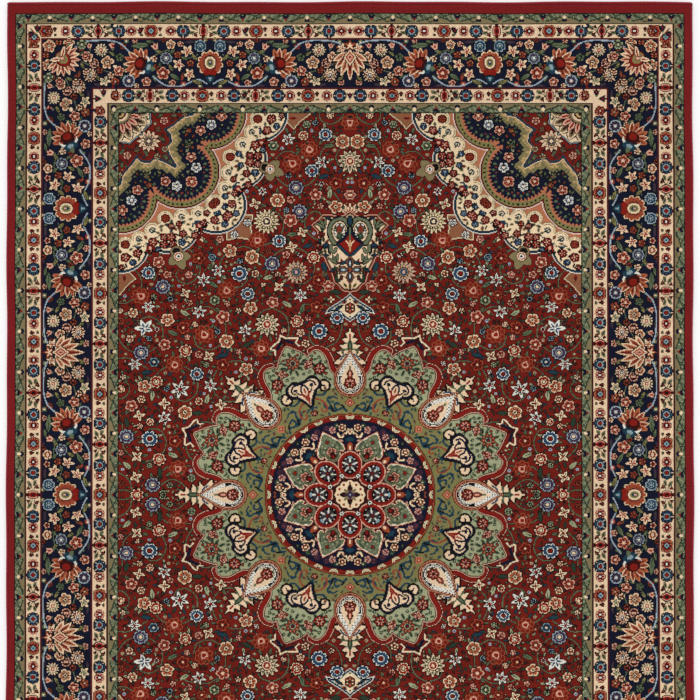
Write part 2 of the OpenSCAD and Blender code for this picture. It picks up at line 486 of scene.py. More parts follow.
LILY = ("ink", "cream", "rust")
DARK_LILY = ("ink", "cream", "crimson")
PINK = ("ink", "pink", "crimson", "cream")
CREAM = ("ink", "cream", "rust", "ink")
RUST = ("ink", "rust", "maroon", "cream")
GREEN = ("ink", "leaf", "fir", "cream")

# Flowers of the main border over half a cycle, as (motif, s, t, size, turn, yarns)
BORDER_FLOWERS = (
    (lily, 53, 27, 17, 30, LILY), (lily, 72, -2, 16, 120, DARK_LILY), (blossom, 92, 44, 11, 0, CREAM),
    (ring_flower, 103, 12, 14, 0, ("ink", "sky", "plum", "white")), (blossom, 110, -23, 15, 0, PINK),
    (bud, 128, 38, 10, 20, ("ink", "pink", "crimson", "leaf")), (blossom, 149, -43, 11, 0, PINK),
    (ring_flower, 190, -41, 12, 0, ("mist", "ink", "plum", "cream")), (blossom, 213, -18, 12, 0, PINK),
    (blossom, 222, -43, 10, 0, RUST), (lily, 247, -40, 15, 200, ("ink", "cream", "leaf")),
    (sunflower, 281, -27, 17, 0, ("ink", "cream", "crimson", "blue", "cream")),
    (ring_flower, 271, 0, 11, 0, ("ink", "pink", "maroon", "pink")),
    (blossom, 240, 2, 15, 0, ("ink", "cream", "leaf", "maroon")),
    (blossom, 211, 14, 9, 0, GREEN), (bud, 229, 41, 9, 10, ("ink", "pink", "rust", "leaf")),
    (sunflower, 255, 31, 16, 0, ("ink", "cream", "sage", "crimson", "cream")),
    (blossom, 286, 15, 12, 0, CREAM), (bud, 282, 40, 8, 10, ("ink", "pink", "crimson", "leaf")),
    (blossom, 46, 0, 8, 0, RUST), (tick, 24, -53, 5, 0, ("cream", "leaf")), (tick, 62, -49, 6, 0, ("cream", "rust")),
    (tick, 302, 50, 5, 0, ("cream", "leaf")), (tick, 12, 56, 5, 0, ("cream", "olive")),
    (blossom, 88, -46, 8, 0, PINK), (tick, 196, 52, 5, 0, ("cream", "leaf")), (blossom, 132, 10, 8, 0, CREAM),
    (blossom, 128, -10, 7, 0, RUST), (blossom, 70, 45, 7, 0, PINK), (blossom, 76, 20, 8, 0, RUST),
    (blossom, 172, -52, 6, 0, CREAM), (blossom, 306, -44, 8, 0, PINK), (blossom, 204, 40, 7, 0, RUST),
    (blossom, 302, 36, 7, 0, RUST), (blossom, 258, -16, 7, 0, RUST), (blossom, 232, -28, 7, 0, CREAM),
    (blossom, 108, 54, 5, 0, RUST), (blossom, 176, 52, 6, 0, PINK), (blossom, 194, -16, 6, 0, CREAM),
)
BORDER_LEAVES = (
    (83, -31, 60, 28, 9, "leaf"), (163, 42, 95, 42, 12, "leaf"), (36, 14, 40, 20, 7, "olive"),
    (118, -4, 150, 18, 6, "leaf"), (118, 26, 60, 20, 7, "olive"), (130, -34, 200, 18, 6, "leaf"),
    (200, -4, 20, 16, 6, "leaf"), (262, -50, 80, 22, 7, "plum"), (176, -50, 80, 20, 7, "plum"),
    (110, 54, 90, 24, 7, "plum"), (268, 52, 90, 24, 7, "plum"), (48, 50, 90, 26, 7, "plum"),
    (298, -6, 30, 18, 6, "olive"), (118, -52, 90, 22, 6, "plum"), (244, 18, 40, 14, 5, "leaf"),
    (60, 12, 70, 18, 6, "leaf"), (92, -10, 30, 20, 6, "olive"), (88, 28, 130, 18, 6, "leaf"),
    (228, 22, 60, 18, 6, "olive"), (300, 24, 140, 16, 6, "leaf"), (262, -34, 40, 18, 6, "olive"),
    (204, -30, 120, 16, 5, "leaf"), (140, 50, 80, 20, 6, "leaf"), (64, -30, 160, 22, 7, "rust"),
    (30, 46, 40, 18, 6, "leaf"), (306, -24, 160, 18, 6, "rust"), (284, 54, 90, 18, 5, "leaf"),
)


def round_palmette(strip, s):
    spot = strip.spot(s, 0, 70)
    for side in (-1, 1):
        ring_flower(spot.moved(23 * side, 41), 14, ("ink", "mist", "teal", "sky"))
        lily(spot.moved(46 * side, -25, 100 * side), 16, ("ink", "cream", "rust"))
        leaf(spot.moved(30 * side, -44, 70 * side), 26, 8, "olive", "ink")
    spot.lobes(11, (33, 0.1, "ink"), (31, 0.26, "cream"), (28.5, 0.34, "orange"))
    spot.fill(spot.starred(27, 11, 15, math.pi / 11), "rust")
    spot.fill((np.abs(np.sin(5.5 * spot.bearing)) * spot.r < 1.8) & (spot.r < 29), "maroon")
    spot.ovals((15, 17, "ink"), (12.5, 14.5, "cream"), (8.5, 10.5, "olive"), (5, 6.5, "teal"), v=2)
    spot.disc(2.4, "pink", v=4)
    spot.outlined([(0, -17), (8, -12), (17, -20), (10, -30), (0, -26)], (0, "crimson"))
    spot.outlined([(0, -29), (5, -26), (14, -31), (7, -42), (0, -50)], (0, "ink"))
    spot.outlined([(0, -30), (4, -28), (12, -32), (6, -41), (0, -47)], (0, "teal"))
    spot.fill(spot.shape([(-4, -33), (4, -33), (0, -44)]), "sky")


def tulip_palmette(strip, s):
    """A palmette opening inwards: long petals from a layered heart, and a small flower behind it."""
    spot = strip.spot(s, 0, 70)
    for side in (-1, 1):
        leaf(spot.moved(28 * side, -10, 30 * side), 30, 10, "terracotta", "ink")
        lily(spot.moved(18 * side, 34, 55 * side), 13, DARK_LILY)
        leaf(spot.moved(22 * side, -34, -40 * side), 20, 7, "olive", "ink")
    rays = [(abs(k), spot.moved(0, 26, 180 + 21 * k)) for k in (-3, 3, -2, 2, -1, 1, 0)]
    for k, ray in rays:
        ray.fill(ray.blade(70 - 7 * k, 20), "ink")
    for k, ray in rays:
        ray.blades((0, 66 - 7 * k, 15.5, "cream"), (0, 60 - 7 * k, 10.5, "salmon" if k % 2 else "rust"),
                   (0, 54 - 7 * k, 3, "maroon"))
    spot.diamonds((17, "ink"), (14.5, "cream"), (11, "rust"), (7, "pink"), (3.5, "crimson"), v=14, tall=1.3)
    lily(spot.moved(0, 40), 15, ("ink", "orange", "cream"))


def main_border(strip, half_cycles, stretch):
    """Dark ground with large palmettes in turn, flowers between them and a pale running vine."""
    strip.fill(True, "navy")
    for start, way in half_cycles:
        def place(s):
            return start + way * s * stretch
        for points, width, yarn in (
            (((30, 20), (60, 12), (100, 30), (140, 12)), 2.2, "leaf"),
            (((190, 0), (226, -20), (262, -12), (300, 4)), 2.2, "leaf"),
            (((60, -30), (90, -46), (120, -30), (150, -40)), 2.2, "fir"),
        ):
            strip.path([(place(s), t) for s, t in points], width, yarn)
        for s, t, turn, length, width, yarn in BORDER_LEAVES:
            leaf(strip.spot(place(s), t, 30, turn * way), length, width, yarn, "ink")
        for motif, s, t, size, turn, yarns in BORDER_FLOWERS:
            motif(strip.spot(place(s), t, 1.6 * size + 4, turn * way), size, yarns)
        for points in (((8, -47), (30, -37), (52, -47), (71, -53), (104, -51), (134, -30)),
                       ((186, 22), (206, 44), (232, 53), (262, 54), (294, 50), (318, 36))):
            strip.path([(place(s), t) for s, t in points], 3.0, "mist")
        fan_palmette(strip.spot(place(160), -2, 64, 68 * way), 37, 9)


def border_corner(pattern, x, y):
    """The palmette on the mitre of the main border, with flowers either side of it."""
    for u, v, size, yarns in ((40, 42, 15, CREAM), (46, -4, 13, CREAM), (50, 20, 8, RUST), (18, -42, 9, PINK),
                              (44, -34, 11, ("ink", "sage", "fir", "cream")), (-20, -44, 8, CREAM)):
        for a, b in {(u, v), (v, u)}:
            blossom(pattern.spot(x + a, y + b, size + 4), size, yarns)
    spot = pattern.spot(x + 12, y + 12, 80, 225)
    rays = [spot.moved(turn=(k - 5) * 20) for k in range(11)]
    for ray in rays:
        ray.blades((-1, 47, 17, "ink"))
    for k, ray in enumerate(rays):
        petal, middle = ("pink", "rust") if k % 2 else ("cream", "salmon")
        ray.blades((0, 43, 12, petal), (0, 38, 7, middle), (0, 34, 2.4, "maroon"))
    spot.ovals((17, 21, "ink"), (15, 19, "crimson"), v=2)
    spot.oval(11, 15, "olive")
    spot.oval(6, 10, "terracotta", v=-1)
    spot.disc(3, "cream")
    for side in (-1, 1):
        arm = spot.moved(turn=125 * side)
        arm.blades((0, 34, 14, "ink"), (0, 30, 10, "cream"), (0, 24, 4, "rust"))


# For each cream guard: its flowers as (kind, place), the length of its repeat and of the whole row
OUTER_SIDE = ((("T", 0), ("B", 51), ("s", 76), ("R", 118.5), ("s", 161), ("B", 186)), 237, 1085)
INNER_SIDE = ((("R", 0), ("s", 44), ("B", 68), ("T", 117), ("B", 166), ("s", 190)), 234, 930)
OUTER_END = ((("b", 0), ("s", 20), ("B", 49), ("T", 97), ("B", 144), ("s", 173), ("R", 219)), 245, 720)
INNER_END = ((("b", 0), ("B", 24), ("s", 54), ("R", 98), ("s", 140), ("B", 168), ("T", 220)), 246, 575)


def paint_borders(p, shape):
    xs, ys = shape["band_x"], shape["band_y"]
    bands = [strips(p, (xs[n + 1], xs[n]), (ys[n + 1], ys[n])) for n in range(len(xs) - 1)]
    for strip, repeat in zip(bands[1], (95, 100)):
        green_guard(strip, repeat, False)
    cream_guard(bands[2][0], *OUTER_SIDE)
    cream_guard(bands[2][1], *OUTER_END)
    side, end = bands[3]
    main_border(side, ((0, 1), (662, -1), (666, 1)), 331 / 327)
    main_border(end, ((326, -1), (326, 1)), 326 / 327)
    for s in (0, 666):
        round_palmette(side, s)
    tulip_palmette(side, 331)
    round_palmette(end, 326)
    tulip_palmette(end, 0)
    border_corner(p, side.centre, end.centre)
    cream_guard(bands[4][0], *INNER_SIDE)
    cream_guard(bands[4][1], *INNER_END)
    for strip in (side, end):
        strip.fill(np.abs(strip.t) > strip.half - 2.6, "wine")
    for x, y in ((bands[2][0].centre, bands[2][1].centre), (bands[4][0].centre, bands[4][1].centre)):
        spot = p.spot(x, y, 40, 45)
        for side_of in (-1, 1):
            bud(spot.moved(10 * side_of, 0, 45 * side_of), 8, ("ink", "navy", "crimson", "leaf"))
            blossom(spot.moved(26 * side_of, -24), 10, ("maroon", "rust", "maroon", "white"))
    for strip, repeat in zip(bands[5], (95, 100)):
        green_guard(strip, repeat, True)
    for strip in bands[0]:
        strip.fill(np.abs(strip.t) <= strip.half, "edge_red")
# ---------------------------------------------------------------- medallion
OLIVE_RING_R = 264
BEAD_RING_R = 190


def outline_from(polar_points, centre):
    """Corners of an outline given as (degrees off an axis, distance)."""
    return [
        (r * math.sin(math.radians(centre + a)), r * math.cos(math.radians(centre + a))) for a, r in polar_points
    ]


def mirrored_side(side):
    return [*side, *[(-a, r) for a, r in side[:0:-1]]]


def both_sides(spot, points, width, yarn, edge=None):
    """A smooth line and its mirror image, with a darker edge if one is named."""
    for side in (-1, 1):
        line = [(side * u, v) for u, v in points]
        if edge:
            spot.path(line, width + 3.4, edge)
        spot.path(line, width, yarn)


def folded(spot, axis):
    """The medallion's eightfold layout as one wedge: v runs out along the nearest axis, u is never negative."""
    turn = math.pi / 4
    off = np.abs((spot.bearing - math.radians(axis) + turn / 2) % turn - turn / 2)
    return Spot(spot.view, spot.r * np.sin(off), spot.r * np.cos(off))


def paint_lobes(m):
    """Pale lobes with small flowers, an olive ring inside them, scrolls and a palmette on each axis."""
    on_lobe, on_drop = folded(m, 22.5), folded(m, 0)
    # a bracket beyond the tip of each lobe
    both_sides(on_lobe, [(0, 422), (10, 410), (22, 406), (34, 400), (26, 392), (30, 382)], 3.6, "ivory", "navy")
    both_sides(on_lobe, [(0, 410), (12, 400), (20, 394)], 7, "navy")
    on_lobe.fill(on_lobe.blade(26, 10, v=392), "maroon")
    # red crescents along the outer flanks
    crescent = outline_from([(8, 363), (10.4, 365), (13, 355), (14.2, 338), (14.7, 320), (15.4, 304)], 0)
    for width, yarn in ((22, "maroon"), (18, "pink"), (15, "maroon"), (12, "crimson")):
        on_lobe.path(crescent, width, yarn)
    # the lobe: a point between two round shoulders
    side = [(0, 391), (2.2, 377), (4, 366), (5.6, 354), (6.4, 349), (7.4, 356), (9.6, 361), (11.6, 354), (12.8, 338),
            (13.2, 318), (14.2, 302), (17, 288), (24, 262)]
    rim = [tuple(q) for q in smooth_path(outline_from(side, 0))]
    whole = on_lobe.shape([(0, 150), *rim, *outline_from([(24, 150)], 0)])
    for steps, yarn in ((3, "maroon"), (2, "pink"), (1, "maroon"), (0, "sage")):
        m.fill(grow(whole, steps) & (m.r > OLIVE_RING_R - 2), yarn)
    m.disc(OLIVE_RING_R, "olive")
    # flowers and leaves on the pale ground
    for u, v, turn in ((0, 368, 0), (18, 352, 60), (20, 338, 110), (-18, 352, -60), (60, 326, 40), (66, 308, 110),
                       (40, 306, 230), (44, 326, 330), (26, 344, 70), (0, 322, 180), (52, 298, 180), (12, 330, 150)):
        leaf(on_lobe.moved(u, v, turn), 15, 4.4, "fir", "leaf", "ink")
    sunflower(on_lobe.moved(0, 348), 18, ("fir", "crimson", "salmon", "navy", "sage"), 9)
    blossom(on_lobe.moved(53, 312), 12.5, ("ink", "crimson", "pink", "navy"), 7)
    blossom(on_lobe.moved(33, 332), 9, ("maroon", "pink", "crimson", "maroon"), 5)
    for u, v, r in ((24, 326, 4.5), (42, 318, 4.5), (62, 296, 4.5), (44, 340, 4), (18, 362, 4)):
        on_lobe.disc(r, "maroon", u, v)
        on_lobe.disc(r - 2, "rust", u, v)
    for u, v in ((62, 338), (27, 360), (28, 314), (11, 374), (57, 286), (14, 314), (72, 322), (48, 348), (36, 300)):
        on_lobe.disc(4.2, "fir", u, v)
        on_lobe.disc(1.7, "sage", u, v)
    # scrolls on the olive ring
    for line, width, yarn in (
        ([(8, 205), (16, 213), (28, 208), (36, 214), (33, 224), (25, 222)], 5.4, "teal"),
        ([(28, 208), (38, 204), (46, 210), (56, 214), (60, 224)], 5.4, "teal"),
        ([(46, 210), (46, 222), (52, 232), (48, 240)], 5, "teal"), ([(30, 236), (40, 240), (46, 236)], 4, "teal"),
        ([(14, 214), (20, 220)], 4.4, "ink"), ([(38, 206), (43, 216)], 4.4, "ink"),
    ):
        both_sides(on_drop, line, width, yarn)
    both_sides(on_lobe, [(8, 250), (20, 245), (30, 234), (33, 220), (27, 210), (20, 212), (20, 219)], 3.6, "rust")
    both_sides(on_lobe, [(22, 256), (34, 250), (44, 254)], 5, "teal")
    blossom(on_lobe.moved(0, 216), 6.5, ("maroon", "rust", "pink", "crimson"))
    on_lobe.fill(on_lobe.blade(26, 9, v=220), "teal")
    both_sides(on_lobe, [(2, 232), (9, 226), (12, 230)], 3, "teal")
    # palmette: two rolled volutes on a pointed foot, a red heart between them and a curled arm each side
    volute = np.hypot(on_lobe.u - 22, on_lobe.v - 284)
    body = on_lobe.shape([(-1, 234), (8, 252), (19, 266), (22, 292), (-1, 292)]) | (volute < 14)
    arm = [(43, 265), (50, 264), (53, 271), (48, 277)]
    both_sides(on_lobe, arm, 19, "ink")
    on_lobe.layers(body, (4, "ink"), (2, "navy"))
    both_sides(on_lobe, arm, 9, "cream")
    on_lobe.fill(body, "cream")
    for line, width in (
        ([(46, 272), (49, 268)], 3), ([(10, 294), (20, 294), (28, 288), (29, 279)], 4.4),
        ([(21, 284), (17, 274), (12, 268)], 3.4), ([(2, 289), (7, 283), (8, 274)], 4.4),
    ):
        both_sides(on_lobe, line, width, "navy")
    on_lobe.oval(5, 4, "navy", 20, 283)
    on_lobe.disc(5, "navy", 0, 293)
    both_sides(on_lobe, [(0, 246), (4, 260), (9, 270)], 5, "crimson")
    on_lobe.path([(0, 242), (0, 280)], 4, "rust")
    on_lobe.diamonds((3.4, "pink"), v=266)


def paint_drops(m):
    """Lace-edged drops between the lobes, each with leaf arms and a spiky finial."""
    on_drop = folded(m, 0)
    arms = [(0, 411), (3, 398), (11, 395), (5, 384), (18, 381), (7, 369), (25, 365), (11, 353), (31, 349), (18, 339),
            (38, 322), (26, 318), (13, 332), (0, 336)]
    on_drop.layers(on_drop.shape([(-1, 336), (-1, 410), *arms]), (2, "ink"), (0, "cream"))
    both_sides(on_drop, [(6, 344), (15, 340), (22, 330)], 4, "blue")
    both_sides(on_drop, [(3, 356), (12, 356), (20, 354)], 3, "leaf")
    both_sides(on_drop, [(2, 372), (10, 372)], 3, "leaf")
    on_drop.blades((342, 40, 12, "fir"), (350, 24, 5, "leaf"), (380, 16, 5, "crimson"))
    for low, tip, wide, yarn in (
        (238, 362, 39, "maroon"), (240, 360, 37, "salmon"), (243, 357, 34, "maroon"), (245.5, 355, 31.5, "pink"),
        (247.5, 352, 29.5, "ink"), (249, 350, 28, "white"),
    ):
        on_drop.fill(on_drop.tear(low, tip, wide), yarn)
    lace = on_drop.tear(250, 348, 27)
    centre = on_drop.moved(0, 276)
    across, out = centre.petals(22)
    on_drop.fill(lace & (np.hypot(across, out - 20.5) > 3) & (out > 17) & (centre.v < 14), "ink")
    on_drop.fill(lace & (np.hypot(across, out - 20.5) < 1.4) & (centre.v < 14), "ink")
    ticks = np.sin((on_drop.v + on_drop.u) / 1.9) * np.sin((on_drop.v - on_drop.u) / 1.9) > 0.5
    on_drop.fill(lace & ticks & (centre.v > 14), "maroon")
    on_drop.fill(on_drop.tear(256, 330, 20), "cream")
    blossom(on_drop.moved(0, 274), 12, ("maroon", "crimson", "pink", "ink"), 7)
    on_drop.blades((282, 26, 15, "maroon"), (284, 22, 10, "rust"), (288, 14, 4, "pink"), (306, 12, 5, "leaf"))
    both_sides(on_drop, [(4, 259), (11, 262), (15, 270)], 2.4, "fir")
    on_drop.diamonds((13, "maroon"), (11, "salmon"), (6, "crimson"), (3, "pink"), v=226)


def paint_disc(m, shape):
    """Navy disc with its ring of beads, eight spade leaves, eight red petals and a cream heart."""
    disc_r = shape["disc_r"]
    for r, yarn in ((disc_r, "maroon"), (disc_r - 2, "orange"), (disc_r - 5, "maroon"), (disc_r - 6.5, "crimson")):
        m.disc(r, yarn)
    beads = 32
    bead = (m.bearing * beads / FULL_TURN + 0.5) % 1 - 0.5
    along = bead * FULL_TURN * BEAD_RING_R / beads
    in_ring = (m.r > 184) & (m.r < disc_r - 6)
    d = np.hypot(along, m.r - 194)
    for far, yarn in ((12, "maroon"), (10.4, "ivory"), (8, "sage"), (5.4, "ivory"), (3.6, "ink")):
        m.fill(in_ring & (d < far), yarn)
    m.disc(185, "maroon")
    m.fill(m.r < 184 - 2.2 * np.abs(np.cos(m.bearing * beads / 2)), "navy")
    on_axis, on_leaf = folded(m, 0), folded(m, 22.5)
    for off, r, size, yarns, petals in (
        (14.5, 163, 8, ("plum", "pink", "crimson", "maroon"), 5),
        (6.3, 165, 9.4, ("maroon", "ivory", "crimson", "ivory"), 6),
        (10.4, 172, 4, ("fir", "leaf", "cream", "leaf"), 4),
        (18.5, 171, 5, ("plum", "maroon", "rust", "plum"), 5),
    ):
        blossom(on_axis.polar(off, r), size, yarns, petals)
    on_axis.blades((102, 30, 20, "maroon"), (104, 26, 14, "orange"), (108, 12, 6, "cream"))
    on_axis.fill(on_axis.shape([(-1, 142), (8, 138), (11, 134), (5, 130), (-1, 130)]), "teal")
    both_sides(on_axis, [(3, 160), (8, 152), (14, 148), (18, 141), (24, 142), (28, 149)], 4.6, "ivory", "ink")
    both_sides(on_axis, [(10, 150), (16, 145), (22, 142)], 2, "rust")
    on_axis.diamonds((7, "ink"), (5.5, "cream"), (3, "rust"), v=154, tall=1.5)
    both_sides(on_axis, [(18, 132), (26, 134), (30, 129)], 3, "pink")
    # spade leaves
    spade = [(0, 167), (5, 160), (20, 142), (28, 130), (33, 118), (32, 108), (25, 104), (19, 110), (18, 98),
             (14, 90), (0, 84)]
    mask = on_leaf.shape(mirrored_outline(spade))
    on_leaf.layers(mask, (1, "crimson"), (0, "ivory"), (-1, "guard"))
    core = shrink(mask, 1)
    saw = (np.sin(on_leaf.v / 1.7 + on_leaf.u / 2.4) > 0.1) & core & ~shrink(mask, 2) & (on_leaf.v > 112)
    on_leaf.fill(saw, "white")
    on_leaf.fill(shrink(mask, 4) & (np.sin(on_leaf.u / 2.1) * np.sin(on_leaf.v / 2.6) > 0.55), "sage")
    on_leaf.fill(shrink(mask, 3) & (on_leaf.v < 112) & (on_leaf.u > 8), "khaki")
    both_sides(on_leaf, [(6, 96), (14, 104), (24, 118), (20, 132)], 2.2, "fir")
    on_leaf.ovals((6, 6, "fir"), (4, 4, "crimson"), v=138)
    blossom(on_leaf.moved(0, 112), 12, ("fir", "pink", "rust", "maroon"), 5)
    on_leaf.blades((92, 22, 14, "maroon"), (94, 12, 6, "crimson"))
    both_sides(on_leaf, [(9, 122), (15, 126)], 3, "fir")
    # red petals
    def petal(a, b):
        return (on_axis.u / a) ** 2 + ((on_axis.v - 73) / b) ** 2 < 1

    m.fill((m.r < 88) | petal(31, 36), "maroon")
    for a, b, yarn in ((29, 34, "pink"), (26.5, 31.5, "crimson"), (19, 24, "maroon"), (18, 23, "ink")):
        m.fill(petal(a, b), yarn)
    flake = on_axis.moved(0, 73)
    flake.fill(flake.starred(22, 10, 2) & petal(18, 22), "white")
    flake.fill(flake.starred(15, 10, 3, math.pi / 10) & petal(17, 21), "leaf")
    flake.fill(flake.starred(18, 5, 1, math.pi / 5) & petal(17, 20), "plum")
    flake.disc(5, "ink")
    flake.diamonds((3.4, "crimson"))
    flake.oval(6, 3.4, "sky", v=18)
    on_leaf.diamonds((9, "ink"), (6, "white"), (3, "ink"), v=50)
    # cream heart with a dark cross
    m.lobes(12, (39, 0.1, "maroon"), (35.5, 0.12, "ivory"))
    dots = (np.degrees(m.bearing) + 15) % 30 - 15
    m.fill(np.hypot(np.radians(dots) * 28, m.r - 28) < 3, "crimson")
    for r, waist, phase, yarn in ((26, 7, 0, "ink"), (20, 6, 0, "maroon"), (20, 4, 1, "khaki"), (13, 5, 0, "plum")):
        m.fill(m.starred(r, 4, waist, phase * math.pi / 4), yarn)
    m.diamonds((4, "sky"))


def paint_medallion(p, shape):
    m = p.spot(0, 0, 430, 0, shape["squash"])
    paint_lobes(m)
    paint_drops(m)
    paint_disc(m, shape)


# ---------------------------------------------------------------- corner ornament
def scalloped(spot, centres, r):
    out = np.zeros(spot.u.shape, bool)
    for u, v in centres:
        out |= np.hypot(spot.u - u, spot.v - v) < r
    return out


def paint_corner(p, shape):
    """Quarter medallion: palmette, red ogee, navy ground, olive, salmon and ivory bands, finials."""
    c = p.spot(shape["field_x"], shape["field_y"], 470, 180, shape["squash"])
    u, v = np.abs(c.u), np.abs(c.v)
    c = Spot(c.view, np.maximum(u, v), np.minimum(u, v))  # mirrored about the diagonal
    ring = [q for q in shape["scallops"] if q[0] >= q[1]]
    hull = scalloped(c, ring, shape["scallop_r"]) | c.shape([(-1, -1), (322, -1), *ring])
    # salmon finials with ivory edges, one square on the diagonal and one pointed beside the field's edge
    square = c.shape([(200, 200), (254, 250), (312, 248), (307, 282), (313, 313)])
    tent = c.shape([(368, -8), (374, 14), (392, 26), (406, 40), (420, 22), (446, 2), (446, -8)])
    for finial in (square, tent):
        c.layers(finial, (1, "maroon"), (0, "ivory"), (-1, "khaki"), (-2, "terracotta"))
    for a, b in ((267, 266), (298, 268)):
        blossom(c.moved(a, b), 9, ("maroon", "white", "ink", "ink"))
    leaf(c.moved(404, 12, 90), 16, 5, "maroon", "rust", "crimson")
    # scalloped rim, then the ivory band with its sprays
    c.layers(hull, (1, "white"), (0, "navy"), (-1, "teal"), (-2, "navy"), (-3, "ivory"))
    for a, b in ((330, 72), (276, 186)):
        flower = c.moved(a, b, math.degrees(math.atan2(a, b)))
        bud(flower, 13, ("ink", "crimson", "pink", "teal"))
        both_sides(flower, [(3, 6), (10, 12), (16, 8)], 5, "ink")
        both_sides(flower, [(2, -8), (9, -12), (14, -6)], 4, "teal")
    for a, b, turn in (
        (362, 8, 20), (350, 26, 40), (358, 46, 100), (338, 38, 150), (338, 52, 60), (318, 60, 100), (316, 92, 60),
        (304, 86, 10), (298, 96, 140), (312, 112, 100), (330, 112, 150), (298, 134, 20), (312, 132, 60), (330, 140, 90),
        (304, 164, 40), (288, 150, 90), (288, 176, 150), (268, 206, 30), (254, 222, 110), (250, 238, 60),
        (270, 232, 150), (262, 246, 0), (332, 14, 70), (326, 30, 20), (374, 16, 80), (280, 220, 60),
    ):
        leaf(c.moved(a, b, turn), 14, 4.4, "teal" if turn % 20 else "ink", "ivory", "ink")
    for a, b, r, kind in (
        (354, 14, 11, "r"), (344, 42, 10, "r"), (324, 44, 8, "b"), (366, 32, 8, "b"), (316, 78, 11, "r"),
        (322, 104, 10, "r"), (304, 104, 9, "r"), (304, 120, 11, "r"), (322, 124, 9, "r"), (316, 146, 9, "b"),
        (296, 148, 9, "r"), (300, 176, 9, "r"), (268, 196, 8, "r"), (262, 222, 10, "r"), (254, 250, 10, "r"),
        (244, 228, 8, "b"), (272, 246, 8, "b"), (378, 6, 7, "r"), (336, 0, 7, "r"), (334, 90, 7, "b"),
    ):
        yarns = ("ink", "crimson", "pink", "ivory") if kind == "r" else ("ink", "blue", "mist", "crimson")
        blossom(c.moved(a, b), r - 1, yarns)
    # salmon ground inside it, under a chain of small ivory arches
    arches = [(322, 14), (308, 46), (287, 77), (258, 107), (254, 145), (246, 184), (224, 218)]
    under = c.shape([(-1, -1), (322, -1), *arches])
    c.fill(under, "salmon")
    for r, yarn in ((20, "khaki"), (18, "ivory"), (15.5, "khaki"), (14, "ivory")):
        c.fill(scalloped(c, arches, r) & (under if yarn == "khaki" else hull), yarn)
    for k, (a, b) in enumerate(arches):
        if k % 3 == 0:
            blossom(c.moved(a, b), 9, ("maroon", "crimson", "orange", "pink"), 7)
        else:
            both_sides(c.moved(a, b), [(0, -7), (6, -2), (3, 6)], 3.4, "teal")
            c.moved(a, b).fill(c.moved(a, b, 30).blade(14, 5, v=-4), "fir")
    # olive band with black dots on three lobes
    centres, radius = ((209, 3), (143, 143)), 82
    rounds = [(Spot(c.view, c.u - a, c.v - b), radius + (5 if a == b else 0)) for a, b in centres]
    within = c.shape([(-1, -1), (209, -1), (209, 3), (143, 143)])
    lobes = within | (rounds[0][0].r < rounds[0][1]) | (rounds[1][0].r < rounds[1][1])
    c.layers(lobes, (3, "white"), (2, "crimson"), (1, "maroon"), (0, "olive"))
    depth = np.full(c.u.shape, 99.0)  # distance in from the nearest lobe's edge, where it is the outer one
    angle = np.zeros(c.u.shape)
    rim = lobes & ~shrink(lobes, 17)
    for one, r in rounds:
        nearer = rim & (r - one.r < depth) & (r - one.r > -1)
        other = rounds[1] if one is rounds[0][0] else rounds[0]
        nearer &= other[0].r > other[1] - 3
        depth[nearer], angle[nearer] = (r - one.r)[nearer], (one.bearing * r)[nearer]
    c.fill((depth > 3.6) & (depth < 8.2) & (np.abs(angle % 11.6 - 5.8) < 2.3), "ink")
    core = shrink(lobes, 6)
    c.layers(core, (0, "maroon"), (-1, "navy"))
    tooth = 13 + 8 * np.abs((angle % 11) / 5.5 - 1)
    c.fill(core & (depth < tooth), "salmon")
    scroll = np.abs(angle % 22 - 11) + np.abs(depth - 27)
    c.fill(core & (scroll < 6.5), "fir")
    c.fill(core & (scroll < 4.5), "leaf")
    scroll = np.abs((angle + 11) % 22 - 11) + np.abs(depth - 35)
    c.fill(core & (scroll < 5), "rust")
    for a, b, r, petal, heart in (
        (189, 42, 12, "pink", "crimson"), (214, 28, 12, "white", "plum"), (238, 6, 13, "pink", "rust"),
        (167, 107, 12, "pink", "crimson"), (179, 133, 12, "white", "plum"), (168, 168, 14, "pink", "rust"),
    ):
        blossom(c.moved(a, b), r, ("ink", petal, heart, "cream"))
    # tan jagged edge, then the red ogee inside it
    half = [(175, 0), (152, 5), (138, 16), (124, 28), (104, 40), (116, 50), (119, 70), (108, 82), (114, 100),
            (132, 132)]
    ogee = c.shape([(-1, -1), (175, -1), *half])
    tooth = np.abs(((c.u + c.v) / 11) % 1 - 0.5) + np.abs(((c.u - c.v) / 11) % 1 - 0.5)
    jag = (grow(ogee, 6) | (grow(ogee, 9) & (tooth > 0.4)) | (grow(ogee, 12) & (tooth > 0.62))) & lobes
    c.fill(grow(jag, 1) & lobes, "olive")
    c.fill(jag, "khaki")
    c.fill(grow(ogee, 8) & jag & (np.sin(c.u / 2.9) + np.sin(c.v / 2.9) > -0.3), "gold")
    c.fill(grow(ogee, 4) & (np.sin(c.u / 3.7) * np.sin(c.v / 3.7) > 0.1), "olive")
    c.layers(ogee, (3, "cream"), (2, "navy"), (1, "teal"), (-1, "red"))
    for a, b, r, yarns in (
        (152, 0, 6, ("maroon", "sage", "rust", "cream")), (104, 18, 9, ("maroon", "pink", "crimson", "cream")),
        (90, 40, 6, ("maroon", "leaf", "rust", "cream")), (106, 88, 7, ("maroon", "sage", "rust", "cream")),
    ):
        blossom(c.moved(a, b), r, yarns)
    for a, b, turn in ((126, 6, 100), (108, 106, 45), (98, 62, 60), (118, 118, 45), (94, 6, 120)):
        leaf(c.moved(a, b, turn), 17, 6, "leaf", "maroon", "fir")
